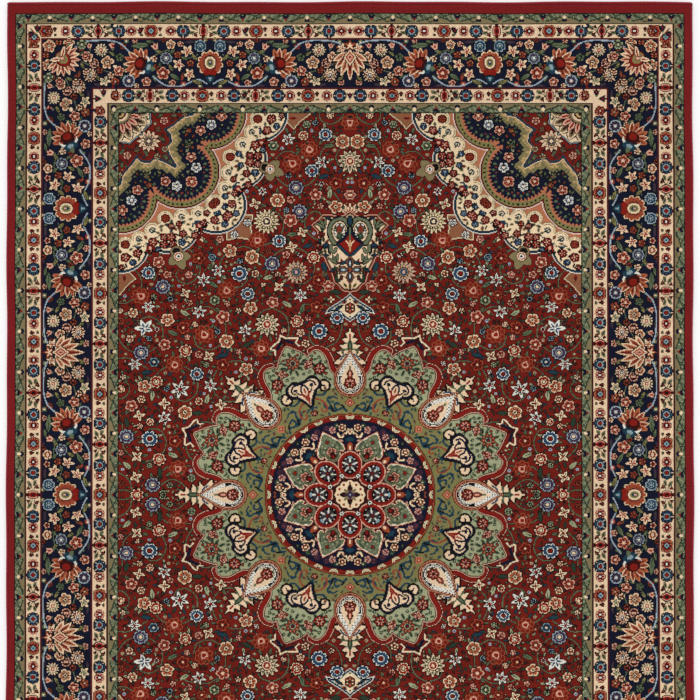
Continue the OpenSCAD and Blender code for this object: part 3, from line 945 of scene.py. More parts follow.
    # quarter palmette in the very corner, with a sunflower above it
    fold = np.abs(np.sin(5 * c.bearing))
    for r, yarn in ((82, "maroon"), (79, "sky"), (77, "navy"), (75, "ivory")):
        c.fill(c.r < r - 7 * fold, yarn)
    for k in range(5):
        c.polar(22.5 * k, 0).blades(
            (34, 38, 24, "ink"), (36, 34, 19, "cream"), (38, 28, 13, "khaki"), (40, 20, 6, "maroon"))
    for k in range(4):
        c.polar(22.5 * k + 11.25, 0).blades((20, 34, 16, "ink"), (22, 30, 12, "pink"), (24, 22, 5, "crimson"))
    for r, yarn in ((27, "ink"), (25, "khaki"), (20, "cream"), (15, "maroon"), (11, "gold"), (6, "ink")):
        c.disc(r, yarn)
    sunflower(c.moved(68, 68), 27, ("maroon", "ivory", "pink", "plum", "khaki"), 12)
    # leafy finials on the scalloped edge
    kite = c.moved(352, 138, math.degrees(math.atan2(352, 138)))
    for edge, yarn in ((4, "maroon"), (0, "khaki")):
        for turn, long in ((-66, 30), (0, 36), (66, 30)):
            ray = kite.moved(0, -2, turn)
            kite.fill(ray.blade(long + edge, 22 + edge, v=-edge / 2), yarn)
        kite.fill(np.hypot(kite.u, kite.v + 12) < 14 + edge / 2, yarn)
    both_sides(kite, [(2, -18), (8, -8), (14, 4), (24, 6)], 2.6, "olive")
    kite.oval(9, 8, "ink", v=-15)
    for turn in (-66, 0, 66):
        kite.fill(kite.moved(0, 6, turn).blade(18, 5), "olive")
    for a, yarn in ((13, "maroon"), (11, "cream"), (8.5, "rust"), (6, "white"), (3, "ink")):
        kite.oval(a, 0.95 * a, yarn, v=-1)


# ---------------------------------------------------------------- pendant and diamond
def paint_pendant(p):
    """Shield with two green arches over white ovals, leaf sprays, a blue cross and a scalloped foot."""
    c = p.spot(0, -9, 710)
    for turn in (56, 28, 0):
        c.moved(0, 660, turn).blades((-1, 31, 10, "ink"), (0, 28, 7, "ivory"), (0, 22, 3.4, "rust"))
    side = [(0, 670), (12, 661), (26, 656), (46, 662), (62, 662), (73, 650), (90, 637), (77, 622), (72, 604), (75, 590),
            (80, 562), (62, 563), (52, 540), (42, 522), (38, 504), (26, 494), (18, 483), (0, 479)]
    c.outlined(side, (1, "maroon"), (0, "pink"), (-1, "crimson"), (-2, "ink"), (-3, "khaki"), (-4, "cream"))
    for u, v, turn in ((62, 648, 60), (72, 640, 110), (66, 628, 30), (62, 604, 10), (64, 586, 60), (68, 572, 120),
                       (58, 576, 20), (54, 596, 150), (38, 550, 60), (34, 536, 20)):
        leaf(c.moved(u, v, turn), 15, 4.6, "crimson" if turn in (60, 150) else "fir", "khaki", "ink")
    for u, v, r, yarns in ((66, 614, 6, ("ink", "crimson", "pink", "ink")), (56, 588, 6, ("ink", "blue", "sky", "ink")),
                           (70, 582, 5, ("ink", "crimson", "pink", "ink"))):
        blossom(c.moved(u, v), r, yarns)
    for turn in (-34, 0, 34):
        for u, v in ((32, 548), (60, 630)):
            c.moved(u, v, 25 + turn).blades((-6, 30, 9, "ink"), (-4, 26, 5.6, "guard"))
    for u, v, turn in ((50, 652, 70), (48, 574, 20), (56, 566, 80), (40, 532, 140), (70, 596, 0)):
        leaf(c.moved(u, v, turn), 14, 5, "teal", "ink", "ink")
    both_sides(c, [(33, 536), (31, 520), (33, 510), (27, 506), (22, 511)], 4.2, "fir", "ink")
    both_sides(c, [(0, 569), (9, 552), (22, 543), (36, 532), (22, 521), (9, 512), (0, 497)], 2, "fir")
    for u, v, turn in ((24, 548, 100), (19, 552, 20), (34, 526, 170), (20, 514, 200)):
        leaf(c.moved(u, v, turn), 10, 4, "crimson", "ink")
    for u, v, turn in ((0, 494, 0), (11, 496, 40), (-11, 496, -40)):
        leaf(c.moved(u, v, turn), 12, 4.4, "fir", "gold", "ink")
    # the ground between the arches, then the arches, their stems and their curled feet
    c.outlined([(0, 622), (12, 606), (26, 592), (12, 574), (0, 562)], (0, "crimson"))
    both_sides(c, [(0, 578), (3, 592), (9, 600)], 3, "cream")
    c.path([(0, 576), (0, 606)], 3, "gold")
    both_sides(c, [(34, 594), (44, 588), (45, 578), (37, 574), (33, 581)], 6, "guard", "ink")
    both_sides(c, [(34, 594), (22, 584), (8, 570), (0, 562), (8, 552), (20, 546)], 4.4, "teal", "ink")
    both_sides(c, [(4, 640), (4, 622), (12, 608), (24, 598), (36, 592)], 5, "navy", "ink")
    arch = [(4, 636), (12, 648), (26, 651), (41, 643), (48, 624), (44, 606), (36, 594)]
    both_sides(c, arch, 13.5, "ink")
    both_sides(c, arch, 8, "guard")
    both_sides(c, [(24, 655), (42, 648), (53, 626), (49, 606)], 2.4, "navy")
    c.ovals((8, 13, "ink"), (5, 9, "teal"), v=646)
    c.fill((np.abs(c.u) < 2) & (np.abs(c.v - 616) < 16), "leaf")
    c.ovals((14.5, 20, "ink"), (12.5, 18, "white"), (9, 14, "cream"), u=24, v=622)
    dots = c.moved(24, 622)
    dots.fill((np.abs(dots.petals(9)[0]) < 1) & (dots.r > 10) & (dots.r < 17), "ink")
    blossom(c.moved(25, 627), 8, ("fir", "rust", "crimson", "ink"))
    for u, v, turn in ((20, 614, 50), (28, 612, -30), (24, 608, 10)):
        leaf(c.moved(u, v, turn), 11, 3.6, "leaf", "fir")
    # cross of four pointed petals
    for turn in (0, 90, 180):
        c.moved(0, 532, turn).blades(
            (1, 32, 19, "ink"), (3, 28, 15.5, "terracotta"), (4, 25, 12, "navy"), (8, 15, 5.5, "sky"),
            (12, 7, 2.6, "white"))
    c.diamonds((4, "rust"), v=532)
    both_sides(c, [(0, 486), (0, 496)], 2.2, "ink")


def paint_diamond(p):
    """Flat pointed shape under the pendant: white line, navy rim and a flowered middle."""
    c = p.spot(0, -4, 700)
    side = [(0, 474), (10, 464), (22, 455), (36, 447), (51, 437), (58, 424), (47, 427), (31, 429), (19, 421), (8, 411),
            (0, 406)]
    c.outlined(side, (1, "maroon"), (0, "white"), (-1, "navy"), (-3, "sky"), (-4, "ivory"))
    leaf(c.moved(26, 439, 118), 22, 5, "teal", "ink", "ink")
    leaf(c.moved(13, 452, 120), 12, 4, "rust", "ink", "ink")
    blossom(c.moved(0, 438), 11, ("ink", "rust", "cream", "crimson"), 6)
    c.disc(3, "navy", 0, 458)
    c.disc(2.6, "teal", 0, 418)


# ---------------------------------------------------------------- flowers of the field
FIELD_KINDS = {
    "rosec": (blossom, ("ink", "ivory", "rust", "ink"), {"petals": 6}),
    "cream": (blossom, ("ink", "cream", "crimson", "ink"), {"petals": 5}),
    "pink": (blossom, ("maroon", "pink", "crimson", "cream"), {"petals": 5}),
    "rust": (blossom, ("maroon", "orange", "ink", "cream"), {"petals": 5}),
    "green": (blossom, ("ink", "sage", "fir", "cream"), {"petals": 6}),
    "sky": (blossom, ("ink", "sky", "navy", "cream"), {"petals": 6}),
    "ring": (ring_flower, ("ink", "ivory", "crimson", "cream"), {"petals": 8}),
    "blue": (ring_flower, ("ink", "white", "blue", "crimson"), {"petals": 8}),
    "violet": (ring_flower, ("ink", "mist", "plum", "cream"), {"petals": 9}),
    "star": (star_flower, ("ink", "white", "crimson"), {"points": 6}),
    "four": (star_flower, ("ink", "ivory", "crimson"), {"points": 4}),
    "sun": (sunflower, ("ink", "cream", "leaf", "crimson", "cream"), {"points": 12}),
    "pinksun": (sunflower, ("maroon", "pink", "sage", "blue", "khaki"), {"points": 15}),
    "bigsun": (sunflower, ("ink", "ivory", "olive", "navy", "cream"), {"points": 16}),
    "outl": (rose, ("orange", "red", "pink", "crimson"), {}),
    "lily": (lily, ("ink", "white", "blue"), {}),
    "blood": (blossom, ("ink", "crimson", "pink", "ivory"), {"petals": 5}),
    "denim": (blossom, ("ink", "blue", "mist", "crimson"), {"petals": 5}),
    "moss": (blossom, ("ink", "leaf", "rust", "cream"), {"petals": 5}),
    "ember": (blossom, ("ink", "rust", "gold", "cream"), {"petals": 5}),
}
# The field's scrolls: their pitch across and along, the flowers at their hearts and round their curls
SCROLL_PITCH = (134, 128)
SCROLL_HEARTS = (("pinksun", 29), ("blue", 19), ("sun", 29), ("outl", 22), ("lily", 24), ("bigsun", 31), ("star", 23))
SCROLL_FLOWERS = (("ring", 15), ("four", 15), ("rosec", 17), ("pink", 16), ("blue", 16), ("outl", 20), ("star", 16),
                  ("cream", 16), ("pink", 14), ("violet", 17), ("four", 14), ("star", 17), ("rust", 15))
SCROLL_LEAVES = ("sage", "teal", "leaf", "fir")
# For each ground yarn: the small flowers on it, the yarns of its leaves, and the edge of a leaf
ROOM = {
    "red": (("pink", "cream", "star", "rosec", "sky", "green", "rust", "ring", "four", "pink"),
            ("leaf", "teal", "sage", "maroon", "fir", "maroon", "leaf"), "maroon"),
    "ivory": (("blood", "denim", "blood"), ("fir", "teal", "navy", "crimson"), "khaki"),
    "navy": (("moss", "ember", "moss"), ("leaf", "sage", "rust", "olive", "leaf"), "ink"),
    "cream": (("blood", "denim"), ("fir", "teal", "crimson"), "khaki"),
    "sage": (("blood", "moss", "blood"), ("fir", "maroon", "fir", "crimson"), "leaf"),
    "olive": ((), ("teal", "fir", "crimson"), "leaf"),
}
TICKS = (("crimson", "sage"), ("cream", "leaf"), ("navy", "mist"))
SPECKS = ("salmon", "leaf", "pink", "leaf", "ink", "rust", "teal")


def vine(p, line, width, yarn, edge):
    x, y = np.array(line, float).T
    spot = p.spot(x.mean(), y.mean(), max(np.ptp(x), np.ptp(y)) / 2 + 30)
    points = [(a - x.mean(), b - y.mean()) for a, b in line]
    spot.path(points, width + 2.4, edge)
    spot.path(points, width, yarn)


def field_flower(p, kind, x, y, r, squash, turn=0.0):
    motif, yarns, options = FIELD_KINDS[kind]
    motif(p.spot(x, y, 1.5 * r + 5, turn, squash), r, yarns, **options)


def sprigs(p, x, y, r, rand, squash, ground="red"):
    """Some small leaves standing out from a flower, where the ground is still free."""
    yarns, edge = ROOM[ground][1:]
    for turn in rand.uniform(0, 360, rand.integers(2, 5)):
        a = math.radians(turn)
        far = r + 4
        spot = p.spot(x + far * math.sin(a), y + far * math.cos(a), 16, turn, squash)
        length = min(16, 8 + 0.5 * r)
        if (spot.view[spot.blade(0.5 * length, 5.5)] == YARN_NAMES.index(ground)).all():
            leaf(spot, length, 5.5, yarns[rand.integers(len(yarns))], edge)


def field_scrolls(shape):
    """The scrolls of the field, in staggered rows, as (x, y, first bearing, way round)."""
    rand = np.random.default_rng(11)
    across, along = SCROLL_PITCH
    rows, columns = (round(shape[key] / pitch) + 1 for key, pitch in (("field_y", along), ("field_x", across)))
    return [
        ((column + row % 2 / 2) * across + rand.uniform(-12, 12), row * along + rand.uniform(-12, 12),
         rand.uniform(0, 360), 1 if (row + column) % 2 else -1)
        for row in range(rows) for column in range(columns)
    ]


def on_scroll(scroll, step, r):
    """The place on a scroll's curl at a step of a sixth of a turn and a distance from its heart."""
    x, y, first, way = scroll
    a = math.radians(first + way * 60 * step)
    return abs(x + r * math.sin(a)), abs(y + r * math.cos(a))


def paint_field(p, shape):
    """Red ground with the curling stems of its scrolls."""
    p.yarn[:] = YARN_NAMES.index("red")
    for scroll in field_scrolls(shape):
        vine(p, [on_scroll(scroll, step * 0.8, 8 + 8 * step) for step in range(9)], 2.4, "leaf", "maroon")


def paint_scroll_flowers(p, shape):
    """The large flowers of the field, wherever their scroll isn't under another part of the design."""
    squash = shape["squash"]
    rand = np.random.default_rng(13)
    free = [YARN_NAMES.index(yarn) for yarn in ("red", "leaf", "maroon")]
    places = []
    for n, scroll in enumerate(field_scrolls(shape)):
        places.append((*SCROLL_HEARTS[n % len(SCROLL_HEARTS)], *on_scroll(scroll, 0, 0)))
        for step in range(6):
            kind, size = SCROLL_FLOWERS[(6 * n + step) % len(SCROLL_FLOWERS)]
            places.append((kind, size, *on_scroll(scroll, step, 52 + rand.uniform(-4, 8))))
        for step in (0.5, 3.5):
            x, y = on_scroll(scroll, step, 66)
            places.append((None, 11, x, y))
    for n, (kind, size, x, y) in enumerate(places):
        x, y = (0.0 if place < size else place for place in (x, y))
        if x > shape["field_x"] - size or y > shape["field_y"] - size:
            continue
        spot = p.spot(x, y, size + 4, 0, squash)
        if np.isin(spot.view[spot.r < size], free).mean() < 0.86:
            continue
        if kind is None:
            leaf(p.spot(x, y, 28, rand.uniform(0, 360), squash), 26, 10, SCROLL_LEAVES[n % len(SCROLL_LEAVES)], "ink")
            continue
        sprigs(p, x, y, size, rand, squash)
        field_flower(p, kind, x, y, size, squash, rand.uniform(0, 60))


def fill_room(p, shape):
    """Small flowers and leaves wherever a ground yarn still has room for them."""
    squash = shape["squash"]
    rand = np.random.default_rng(12)
    far = (shape["field_x"] - 2, shape["field_y"] - 2)
    for size, tries in ((13, 1100), (10.5, 2000), (8, 4500), (5.5, 8000), (4, 8000), (3, 5000)):
        for x, y in rand.uniform((2, 2), far, (tries, 2)):
            ground = YARN_NAMES[p.yarn[int(y / p.tuft), int(x / p.tuft)]]
            if ground not in ROOM or (ground != "red" and size > 9):
                continue
            kinds, yarns, edge = ROOM[ground]
            if size > 6 and not kinds:
                continue
            spot = p.spot(x, y, size + 4, 0, squash)
            if (spot.view[spot.r < size + min(1.5, size / 5)] != YARN_NAMES.index(ground)).any():
                continue
            turn = rand.uniform(0, 360)
            if size > 6:
                if rand.random() < 0.8:
                    sprigs(p, x, y, size - 2, rand, squash, ground)
                field_flower(p, kinds[rand.integers(len(kinds))], x, y, size - 1.5, squash, turn)
            elif size < 3.5:
                if ground == "red":
                    leaf(p.spot(x, y, 9, turn, squash), 6, 3, SPECKS[rand.integers(len(SPECKS))], "maroon")
            elif size < 5:
                leaf(p.spot(x, y, 12, turn, squash), 8, 3.4, yarns[rand.integers(len(yarns))], edge)
            elif ground == "red" and rand.random() < 0.4:
                tick(p.spot(x, y, 8, 45, squash), 3.6, TICKS[rand.integers(len(TICKS))])
            else:
                leaf(p.spot(x, y, 14, turn, squash), 10, 4.4, yarns[rand.integers(len(yarns))], edge)


def paint(shape, tuft):
    """The whole quarter: every tuft's yarn."""
    xs, ys = shape["band_x"], shape["band_y"]
    p = Pattern(round(xs[0] / tuft), round(ys[0] / tuft), tuft)
    paint_field(p, shape)
    paint_corner(p, shape)
    paint_pendant(p)
    paint_diamond(p)
    paint_medallion(p, shape)
    paint_scroll_flowers(p, shape)
    fill_room(p, shape)
    paint_borders(p, shape)
    return p
# ---------------------------------------------------------------- from the frame
BANDS = ("plain_band", "outer_green", "outer_cream", "main_border", "inner_cream", "inner_green")
ZONES = ("field", "corner", "pendant", "diamond", "lobe_1", "lobe_2", "drop_0", "drop_1", "drop_2",
         "medallion_disc", "medallion_rosette", *[f"{b}_{kind}" for b in BANDS for kind in ("side", "end")])
LOBE_R = 386.0
SCALLOP_R = 70.0


def top(node, axis):
    """The upper end of a CAD node's box along one axis, in millimetres."""
    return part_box(node)[1][axis] / MM


def shape_from_frame():
    """The outlines of the design's areas, placed by the CAD nodes' boxes."""
    band_x = [top(f"{b}_right", 0) for b in BANDS] + [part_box("inner_green_right")[0][0] / MM]
    band_y = [top(f"{b}_head", 1) for b in BANDS] + [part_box("inner_green_head")[0][1] / MM]
    disc_r = top("medallion_disc", 0)
    drop_r = top("medallion_drop_2", 0)
    return {
        "band_x": band_x, "band_y": band_y, "field_x": band_x[-1], "field_y": band_y[-1],
        "squash": top("medallion_disc", 1) / disc_r, "disc_r": disc_r, "rosette_r": top("medallion_rosette", 0),
        "lobe_side": [(0, LOBE_R), (5, LOBE_R - 30), (7, LOBE_R - 26), (10, LOBE_R - 28), (12.5, LOBE_R - 44),
                      (14.5, LOBE_R - 90), (14.5, disc_r + 52), (22.5, disc_r + 40)],
        "drop_side": [(0, drop_r), (3, drop_r - 30), (5, drop_r - 44), (2, drop_r - 66), (5.5, drop_r - 110),
                      (7.5, drop_r - 140), (7, disc_r + 57), (4, disc_r + 53)],
        "scallop_r": SCALLOP_R,
        "scallops": [(322, 0), (274, 117), (225, 225), (117, 274), (0, 322)],
        "corner_finial": [(200, 200), (315, 236), (322, 322), (236, 315)],
        "pendant_side": [(0, 672), (24, 648), (58, 664), (86, 632), (70, 612), (74, 574), (80, 552), (48, 518),
                         (30, 484), (12, 472)],
        "diamond_side": [(0, 469), (36, 446), (57, 422), (25, 424), (8, 404)],
    }


def zone_map(p, shape):
    """Which of ZONES each tuft of the quarter belongs to."""
    zone = np.zeros(p.yarn.shape, np.uint8)

    def mark(mask, name):
        zone[mask] = ZONES.index(name)

    m = p.everywhere(shape["squash"])
    c = Spot(m.view, shape["field_x"] - m.u, shape["field_y"] / shape["squash"] - m.v)
    ring = shape["scallops"]
    corner = scalloped(c, ring, shape["scallop_r"]) | c.shape([(-1, -1), (322, -1), *ring, (-1, 322)])
    mark(corner | c.shape(shape["corner_finial"]), "corner")
    flat = p.everywhere()
    for name in ("pendant", "diamond"):
        mark(flat.shape(mirrored_outline(shape[f"{name}_side"])), name)
    lobe = mirrored_side([*shape["lobe_side"], (22.5, 0)])
    for k in (1, 2):
        mark(inside(m.u, m.v, outline_from(lobe, 45 * k - 22.5)), f"lobe_{k}")
    for k in (0, 1, 2):
        mark(inside(m.u, m.v, outline_from(mirrored_side(shape["drop_side"]), 45 * k)), f"drop_{k}")
    mark(m.r < shape["disc_r"], "medallion_disc")
    mark(m.r < shape["rosette_r"], "medallion_rosette")
    xs, ys = shape["band_x"], shape["band_y"]
    for n, band in enumerate(BANDS):
        for strip, kind in zip(strips(p, (xs[n + 1], xs[n]), (ys[n + 1], ys[n])), ("side", "end")):
            mark(strip.mask, f"{band}_{kind}")
    return zone


def node_of(zone, right, head):
    """The CAD node that an area of the quarter belongs to, once mirrored to one quadrant."""
    x_name, y_name = ("right" if right else "left"), ("head" if head else "foot")
    if zone in ("field", "corner"):
        return f"{zone}_{y_name}_{x_name}"
    if zone in ("pendant", "diamond"):
        return f"{zone}_{y_name}"
    if zone.startswith("lobe"):
        k = int(zone[-1])
        return "medallion_lobe_%d" % {(1, 1): k, (1, 0): 5 - k, (0, 0): 4 + k, (0, 1): 9 - k}[(right, head)]
    if zone.startswith("drop"):
        k = int(zone[-1])
        return "medallion_drop_%d" % ({(1, 1): k, (1, 0): 4 - k, (0, 0): 4 + k, (0, 1): 8 - k}[(right, head)] or 8)
    if zone.endswith("_side"):
        return zone.replace("_side", f"_{x_name}")
    if zone.endswith("_end"):
        return zone.replace("_end", f"_{y_name}")
    return zone


def mirrored(quarter):
    """The whole rug's grid from its head right quarter, rows from the foot and columns from the left."""
    head = np.hstack([quarter[:, ::-1], quarter])
    return np.vstack([head[::-1], head])


# ---------------------------------------------------------------- materials
SLOTS = {
    "plain": "plain_red_pile", "outer_green": "green_guard_pile", "inner_green": "green_guard_pile",
    "outer_cream": "cream_guard_pile", "inner_cream": "cream_guard_pile", "main": "main_border_pile",
    "corner": "corner_pile", "field": "field_pile", "medallion_rosette": "medallion_pile",
    "medallion_disc": "medallion_pile", "medallion_lobe": "lobe_pile", "medallion_drop": "drop_pile",
    "pendant": "pendant_pile", "diamond": "pendant_pile", "serging": "serging_yarn", "hem": "hem_yarn",
    "ground": "ground_yarn",
}
# Scales of the noise in a pile: its twisted yarn ends, its fibres and its worn patches
YARN_END_SCALE, FIBRE_SCALE, WORN_PATCH_SCALE = 420, 900, 2.3
CLOTH_PATCH_SCALE = 9
# For each slot of pile: how much its yarn ends and its worn patches vary, and its sheen
PILES = {
    "plain_red_pile": (0.10, 0.06, 0.03), "green_guard_pile": (0.14, 0.05, 0.02),
    "cream_guard_pile": (0.10, 0.04, 0.02), "main_border_pile": (0.14, 0.05, 0.02),
    "corner_pile": (0.12, 0.05, 0.02), "field_pile": (0.14, 0.08, 0.02), "medallion_pile": (0.13, 0.05, 0.02),
    "lobe_pile": (0.12, 0.05, 0.02), "drop_pile": (0.12, 0.04, 0.02), "pendant_pile": (0.12, 0.04, 0.02),
}
# For each slot of plied yarn: its colour, the darker colour painted in its hollows as shade, stretch, scale and sheen
PLIED_YARNS = {
    "serging_yarn": ("#96202e", "#701722", (1, 1, 1), 500, 0.15),
    "hem_yarn": ("#8e2127", "#6a161b", (1, 1, 1), 420, 0.12),
    "ground_yarn": ("#b59f7e", "#7a6648", (1, 3, 1), 260, 0.1),
}


def slot_of(node):
    return next(slot for start, slot in SLOTS.items() if node.startswith(start))


def srgb(code):
    """Reflectance of a yarn from the colour it shows under the studio light."""
    value = np.array([int(code[i : i + 2], 16) / 255 for i in (1, 3, 5)])
    return np.where(value < 0.04045, value / 12.92, ((value + 0.055) / 1.055) ** 2.4) / LIGHT_LEVEL


class Nodes:
    """A small helper to lay down shader nodes and link them."""

    def __init__(self, name):
        self.material = bpy.data.materials.new(name)
        self.material.use_nodes = True
        self.tree = self.material.node_tree
        self.tree.nodes.clear()
        self.out = self.tree.nodes.new("ShaderNodeOutputMaterial")
        self.bsdf = self.tree.nodes.new("ShaderNodeBsdfPrincipled")
        self.link(self.bsdf, "BSDF", self.out, "Surface")

    def add(self, kind, **settings):
        node = self.tree.nodes.new("ShaderNode" + kind)
        for key, value in settings.items():
            setattr(node, key, value)
        return node

    def link(self, a, a_socket, b, b_socket):
        self.tree.links.new(a.outputs[a_socket], b.inputs[b_socket])

    def set(self, node, values):
        for socket, value in values.items():
            node.inputs[socket].default_value = value

    def noise(self, coord, scale, detail=2.0, stretch=(1, 1, 1)):
        mapping = self.add("Mapping")
        self.set(mapping, {"Scale": stretch})
        self.link(coord, "Object", mapping, "Vector")
        node = self.add("TexNoise")
        self.set(node, {"Scale": scale, "Detail": detail})
        self.link(mapping, "Vector", node, "Vector")
        return node

    def remap(self, source, low, high):
        """A noise's 0 to 1 brought to another range."""
        node = self.add("MapRange")
        self.set(node, {"To Min": low, "To Max": high})
        self.link(source, "Fac", node, "Value")
        return node

    def times(self, a, b):
        """The product of two ranges."""
        node = self.add("Math", operation="MULTIPLY")
        self.link(a, "Result", node, 0)
        self.link(b, "Result", node, 1)
        return node

    def shaded(self, colour, colour_socket, light, light_socket):
        """The surface's colour: one colour times a light value."""
        node = self.add("VectorMath", operation="SCALE")
        self.link(colour, colour_socket, node, 0)
        self.link(light, light_socket, node, "Scale")
        self.link(node, "Vector", self.bsdf, "Base Color")

    def bump(self, source, strength, distance):
        node = self.add("Bump")
        self.set(node, {"Strength": strength, "Distance": distance})
        self.link(source, "Fac", node, "Height")
        self.link(node, "Normal", self.bsdf, "Normal")


def pile_material(name, fuzz, wear, sheen):
    """Cut pile: each tuft's own yarn colour, with twisted yarn ends, worn lighter patches and a soft sheen."""
    n = Nodes(name)
    coord = n.add("TexCoord")
    yarn = n.add("Attribute", attribute_name="yarn")
    ends = n.noise(coord, YARN_END_SCALE)
    patch = n.noise(coord, WORN_PATCH_SCALE, 3.0, (1, 2.4, 1))
    light = n.times(n.remap(ends, 1 - fuzz, 1 + fuzz), n.remap(patch, 1 - wear, 1 + wear))
    n.shaded(yarn, "Color", light, "Value")
    n.link(n.remap(ends, 0.82, 1.0), "Result", n.bsdf, "Roughness")
    n.set(n.bsdf, {"Sheen Weight": sheen, "Sheen Roughness": 0.6, "Specular IOR Level": 0.04})
    n.bump(n.noise(coord, FIBRE_SCALE, 3.0), 0.35, 0.0006)
    return n.material


def yarn_material(name, colour, dark, stretch, scale, sheen):
    """Plied yarn in one colour, with painted shade darkening the hollows between its strands."""
    n = Nodes(name)
    coord = n.add("TexCoord")
    strands = n.noise(coord, scale, 3.0, stretch)
    cloth = n.noise(coord, CLOTH_PATCH_SCALE, 4.0, (1, 3, 1))
    # painted shade: the yarn colour mixed towards a darker one where the strands' noise is low, as in the hollows
    # between strands
    strand_shade_mix = n.add("Mix", data_type="RGBA")
    n.set(strand_shade_mix, {"A": (*srgb(dark), 1), "B": (*srgb(colour), 1)})
    n.link(n.remap(strands, 0.0, 1.5), "Result", strand_shade_mix, "Factor")
    n.shaded(strand_shade_mix, "Result", n.remap(cloth, 0.8, 1.2), "Result")
    n.link(n.remap(strands, 0.8, 0.98), "Result", n.bsdf, "Roughness")
    n.set(n.bsdf, {"Sheen Weight": sheen, "Specular IOR Level": 0.1})
    n.bump(strands, 0.5, 0.0005)
    return n.material


# ---------------------------------------------------------------- meshes
HALF_W, HALF_L, PILE_TOP = (value / MM for value in cad_bounds[1])
GROUND_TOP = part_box("ground_weave")[1][2]
CORNER_R = 6.0
# How the edges wander, as (height, length and phase of a wave), and how far they draw in
SIDE_WAVES = ((0.9, 97.0, 1.3), (0.6, 41.0, 2.1))
END_WAVES = ((0.9, 83.0, 0.7), (0.5, 37.0, 1.1))
DRAWN_IN = 0.2
# How much of each half of the rug, from its edge inwards, follows the wander
SIDE_REACH, END_REACH = 0.2, 0.15
SIDE_SHADE = 0.6
RIB = 0.36
GROUND_COLUMNS, GROUND_ROWS = 65, 801
SERGING_PITCH, HEM_PITCH = 3.0, 4.0
STEPS_PER_TURN = 4
POINTS_AROUND = 12
RIDGE = 0.55
TUFT_COLOUR_SPREAD = 0.085
TUFT_HEIGHT_SPREAD = 0.22
PILE_SLACK = 0.5
EDGE_DROP, EDGE_DROP_REACH = 1.6, 2.5


def new_mesh(name, verts, faces, material, smooth=False):
    """A mesh object from arrays of corners and of faces, all quads."""
    mesh = bpy.data.meshes.new(name)
    mesh.vertices.add(len(verts))
    mesh.vertices.foreach_set("co", np.asarray(verts, np.float32).ravel())
    mesh.loops.add(4 * len(faces))
    mesh.loops.foreach_set("vertex_index", np.asarray(faces, np.int32).ravel())
    mesh.polygons.add(len(faces))
    mesh.polygons.foreach_set("loop_start", np.arange(0, 4 * len(faces), 4, dtype=np.int32))
    mesh.polygons.foreach_set("use_smooth", np.full(len(faces), smooth))
    mesh.update(calc_edges=True)
    mesh.validate()
    mesh.materials.append(material)
    obj = bpy.data.objects.new(name, mesh)
    bpy.context.scene.collection.objects.link(obj)
    return obj


def wandered(value, along, half, reach, waves):
    """A place across the rug, moved by the wander of the edge that it is near."""
    sign = np.sign(value)
    shift = sum(height * np.sin(along / length + phase * sign) for height, length, phase in waves)
    near = np.clip((np.abs(value) - (1 - reach) * half) / (reach * half), 0, 1) ** 2
    return value + (shift - DRAWN_IN * sign) * near


def lay(x, y):
    """How the rug really lies: slightly wavy edges and softly rounded corners."""
    out_x = wandered(x, y, HALF_W, SIDE_REACH, SIDE_WAVES)
    out_y = wandered(y, x, HALF_L, END_REACH, END_WAVES)
    corner_x = np.clip(np.abs(x) - (HALF_W - CORNER_R), 0, None)
    corner_y = np.clip(np.abs(y) - (HALF_L - CORNER_R), 0, None)
    reach = np.maximum(corner_x, corner_y)
    spread = np.hypot(corner_x, corner_y)
    pull = np.where((corner_x > 0) & (corner_y > 0), reach / np.maximum(spread, 1e-9), 1.0)
    return out_x - np.sign(x) * corner_x * (1 - pull), out_y - np.sign(y) * corner_y * (1 - pull)


def pile_piece(name, cells, corners, colours, material):
    """One area of the pile: its tufts' tops and the side of the pile round its rim, down to the ground."""
    rows, cols = np.nonzero(cells)
    width = cells.shape[1] + 1
    base = rows * width + cols
    quads = np.stack([base, base + 1, base + width + 1, base + width], 1)
    padded = np.pad(cells, 1)
    skirts, skirt_cells = [], []
    for (dr, dc), (i, j) in (((-1, 0), (0, 1)), ((0, 1), (1, 2)), ((1, 0), (2, 3)), ((0, -1), (3, 0))):
        edge = ~padded[rows + 1 + dr, cols + 1 + dc]
        skirts.append(quads[edge][:, [i, j]])
        skirt_cells.append(np.nonzero(edge)[0])
    rim = np.vstack(skirts)
    used, index = np.unique(quads, return_inverse=True)
    quads = index.reshape(quads.shape)
    rim_ids = np.searchsorted(used, rim)
    low_used, low_index = np.unique(rim_ids, return_inverse=True)
    low_index = low_index.reshape(rim_ids.shape) + len(used)
    low = corners[used[low_used]].copy()
    low[:, 2] = GROUND_TOP
    walls = np.stack([rim_ids[:, 1], rim_ids[:, 0], low_index[:, 0], low_index[:, 1]], 1)
    obj = new_mesh(name, np.vstack([corners[used], low]), np.vstack([quads, walls]), material)
    own = colours[rows, cols]
    face_colours = np.vstack([own, own[np.concatenate(skirt_cells)] * SIDE_SHADE])
    rgba = np.hstack([face_colours, np.ones((len(face_colours), 1))]).astype(np.float32)
    attribute = obj.data.attributes.new("yarn", "FLOAT_COLOR", "FACE")
    attribute.data.foreach_set("color", rgba.ravel())
    return obj


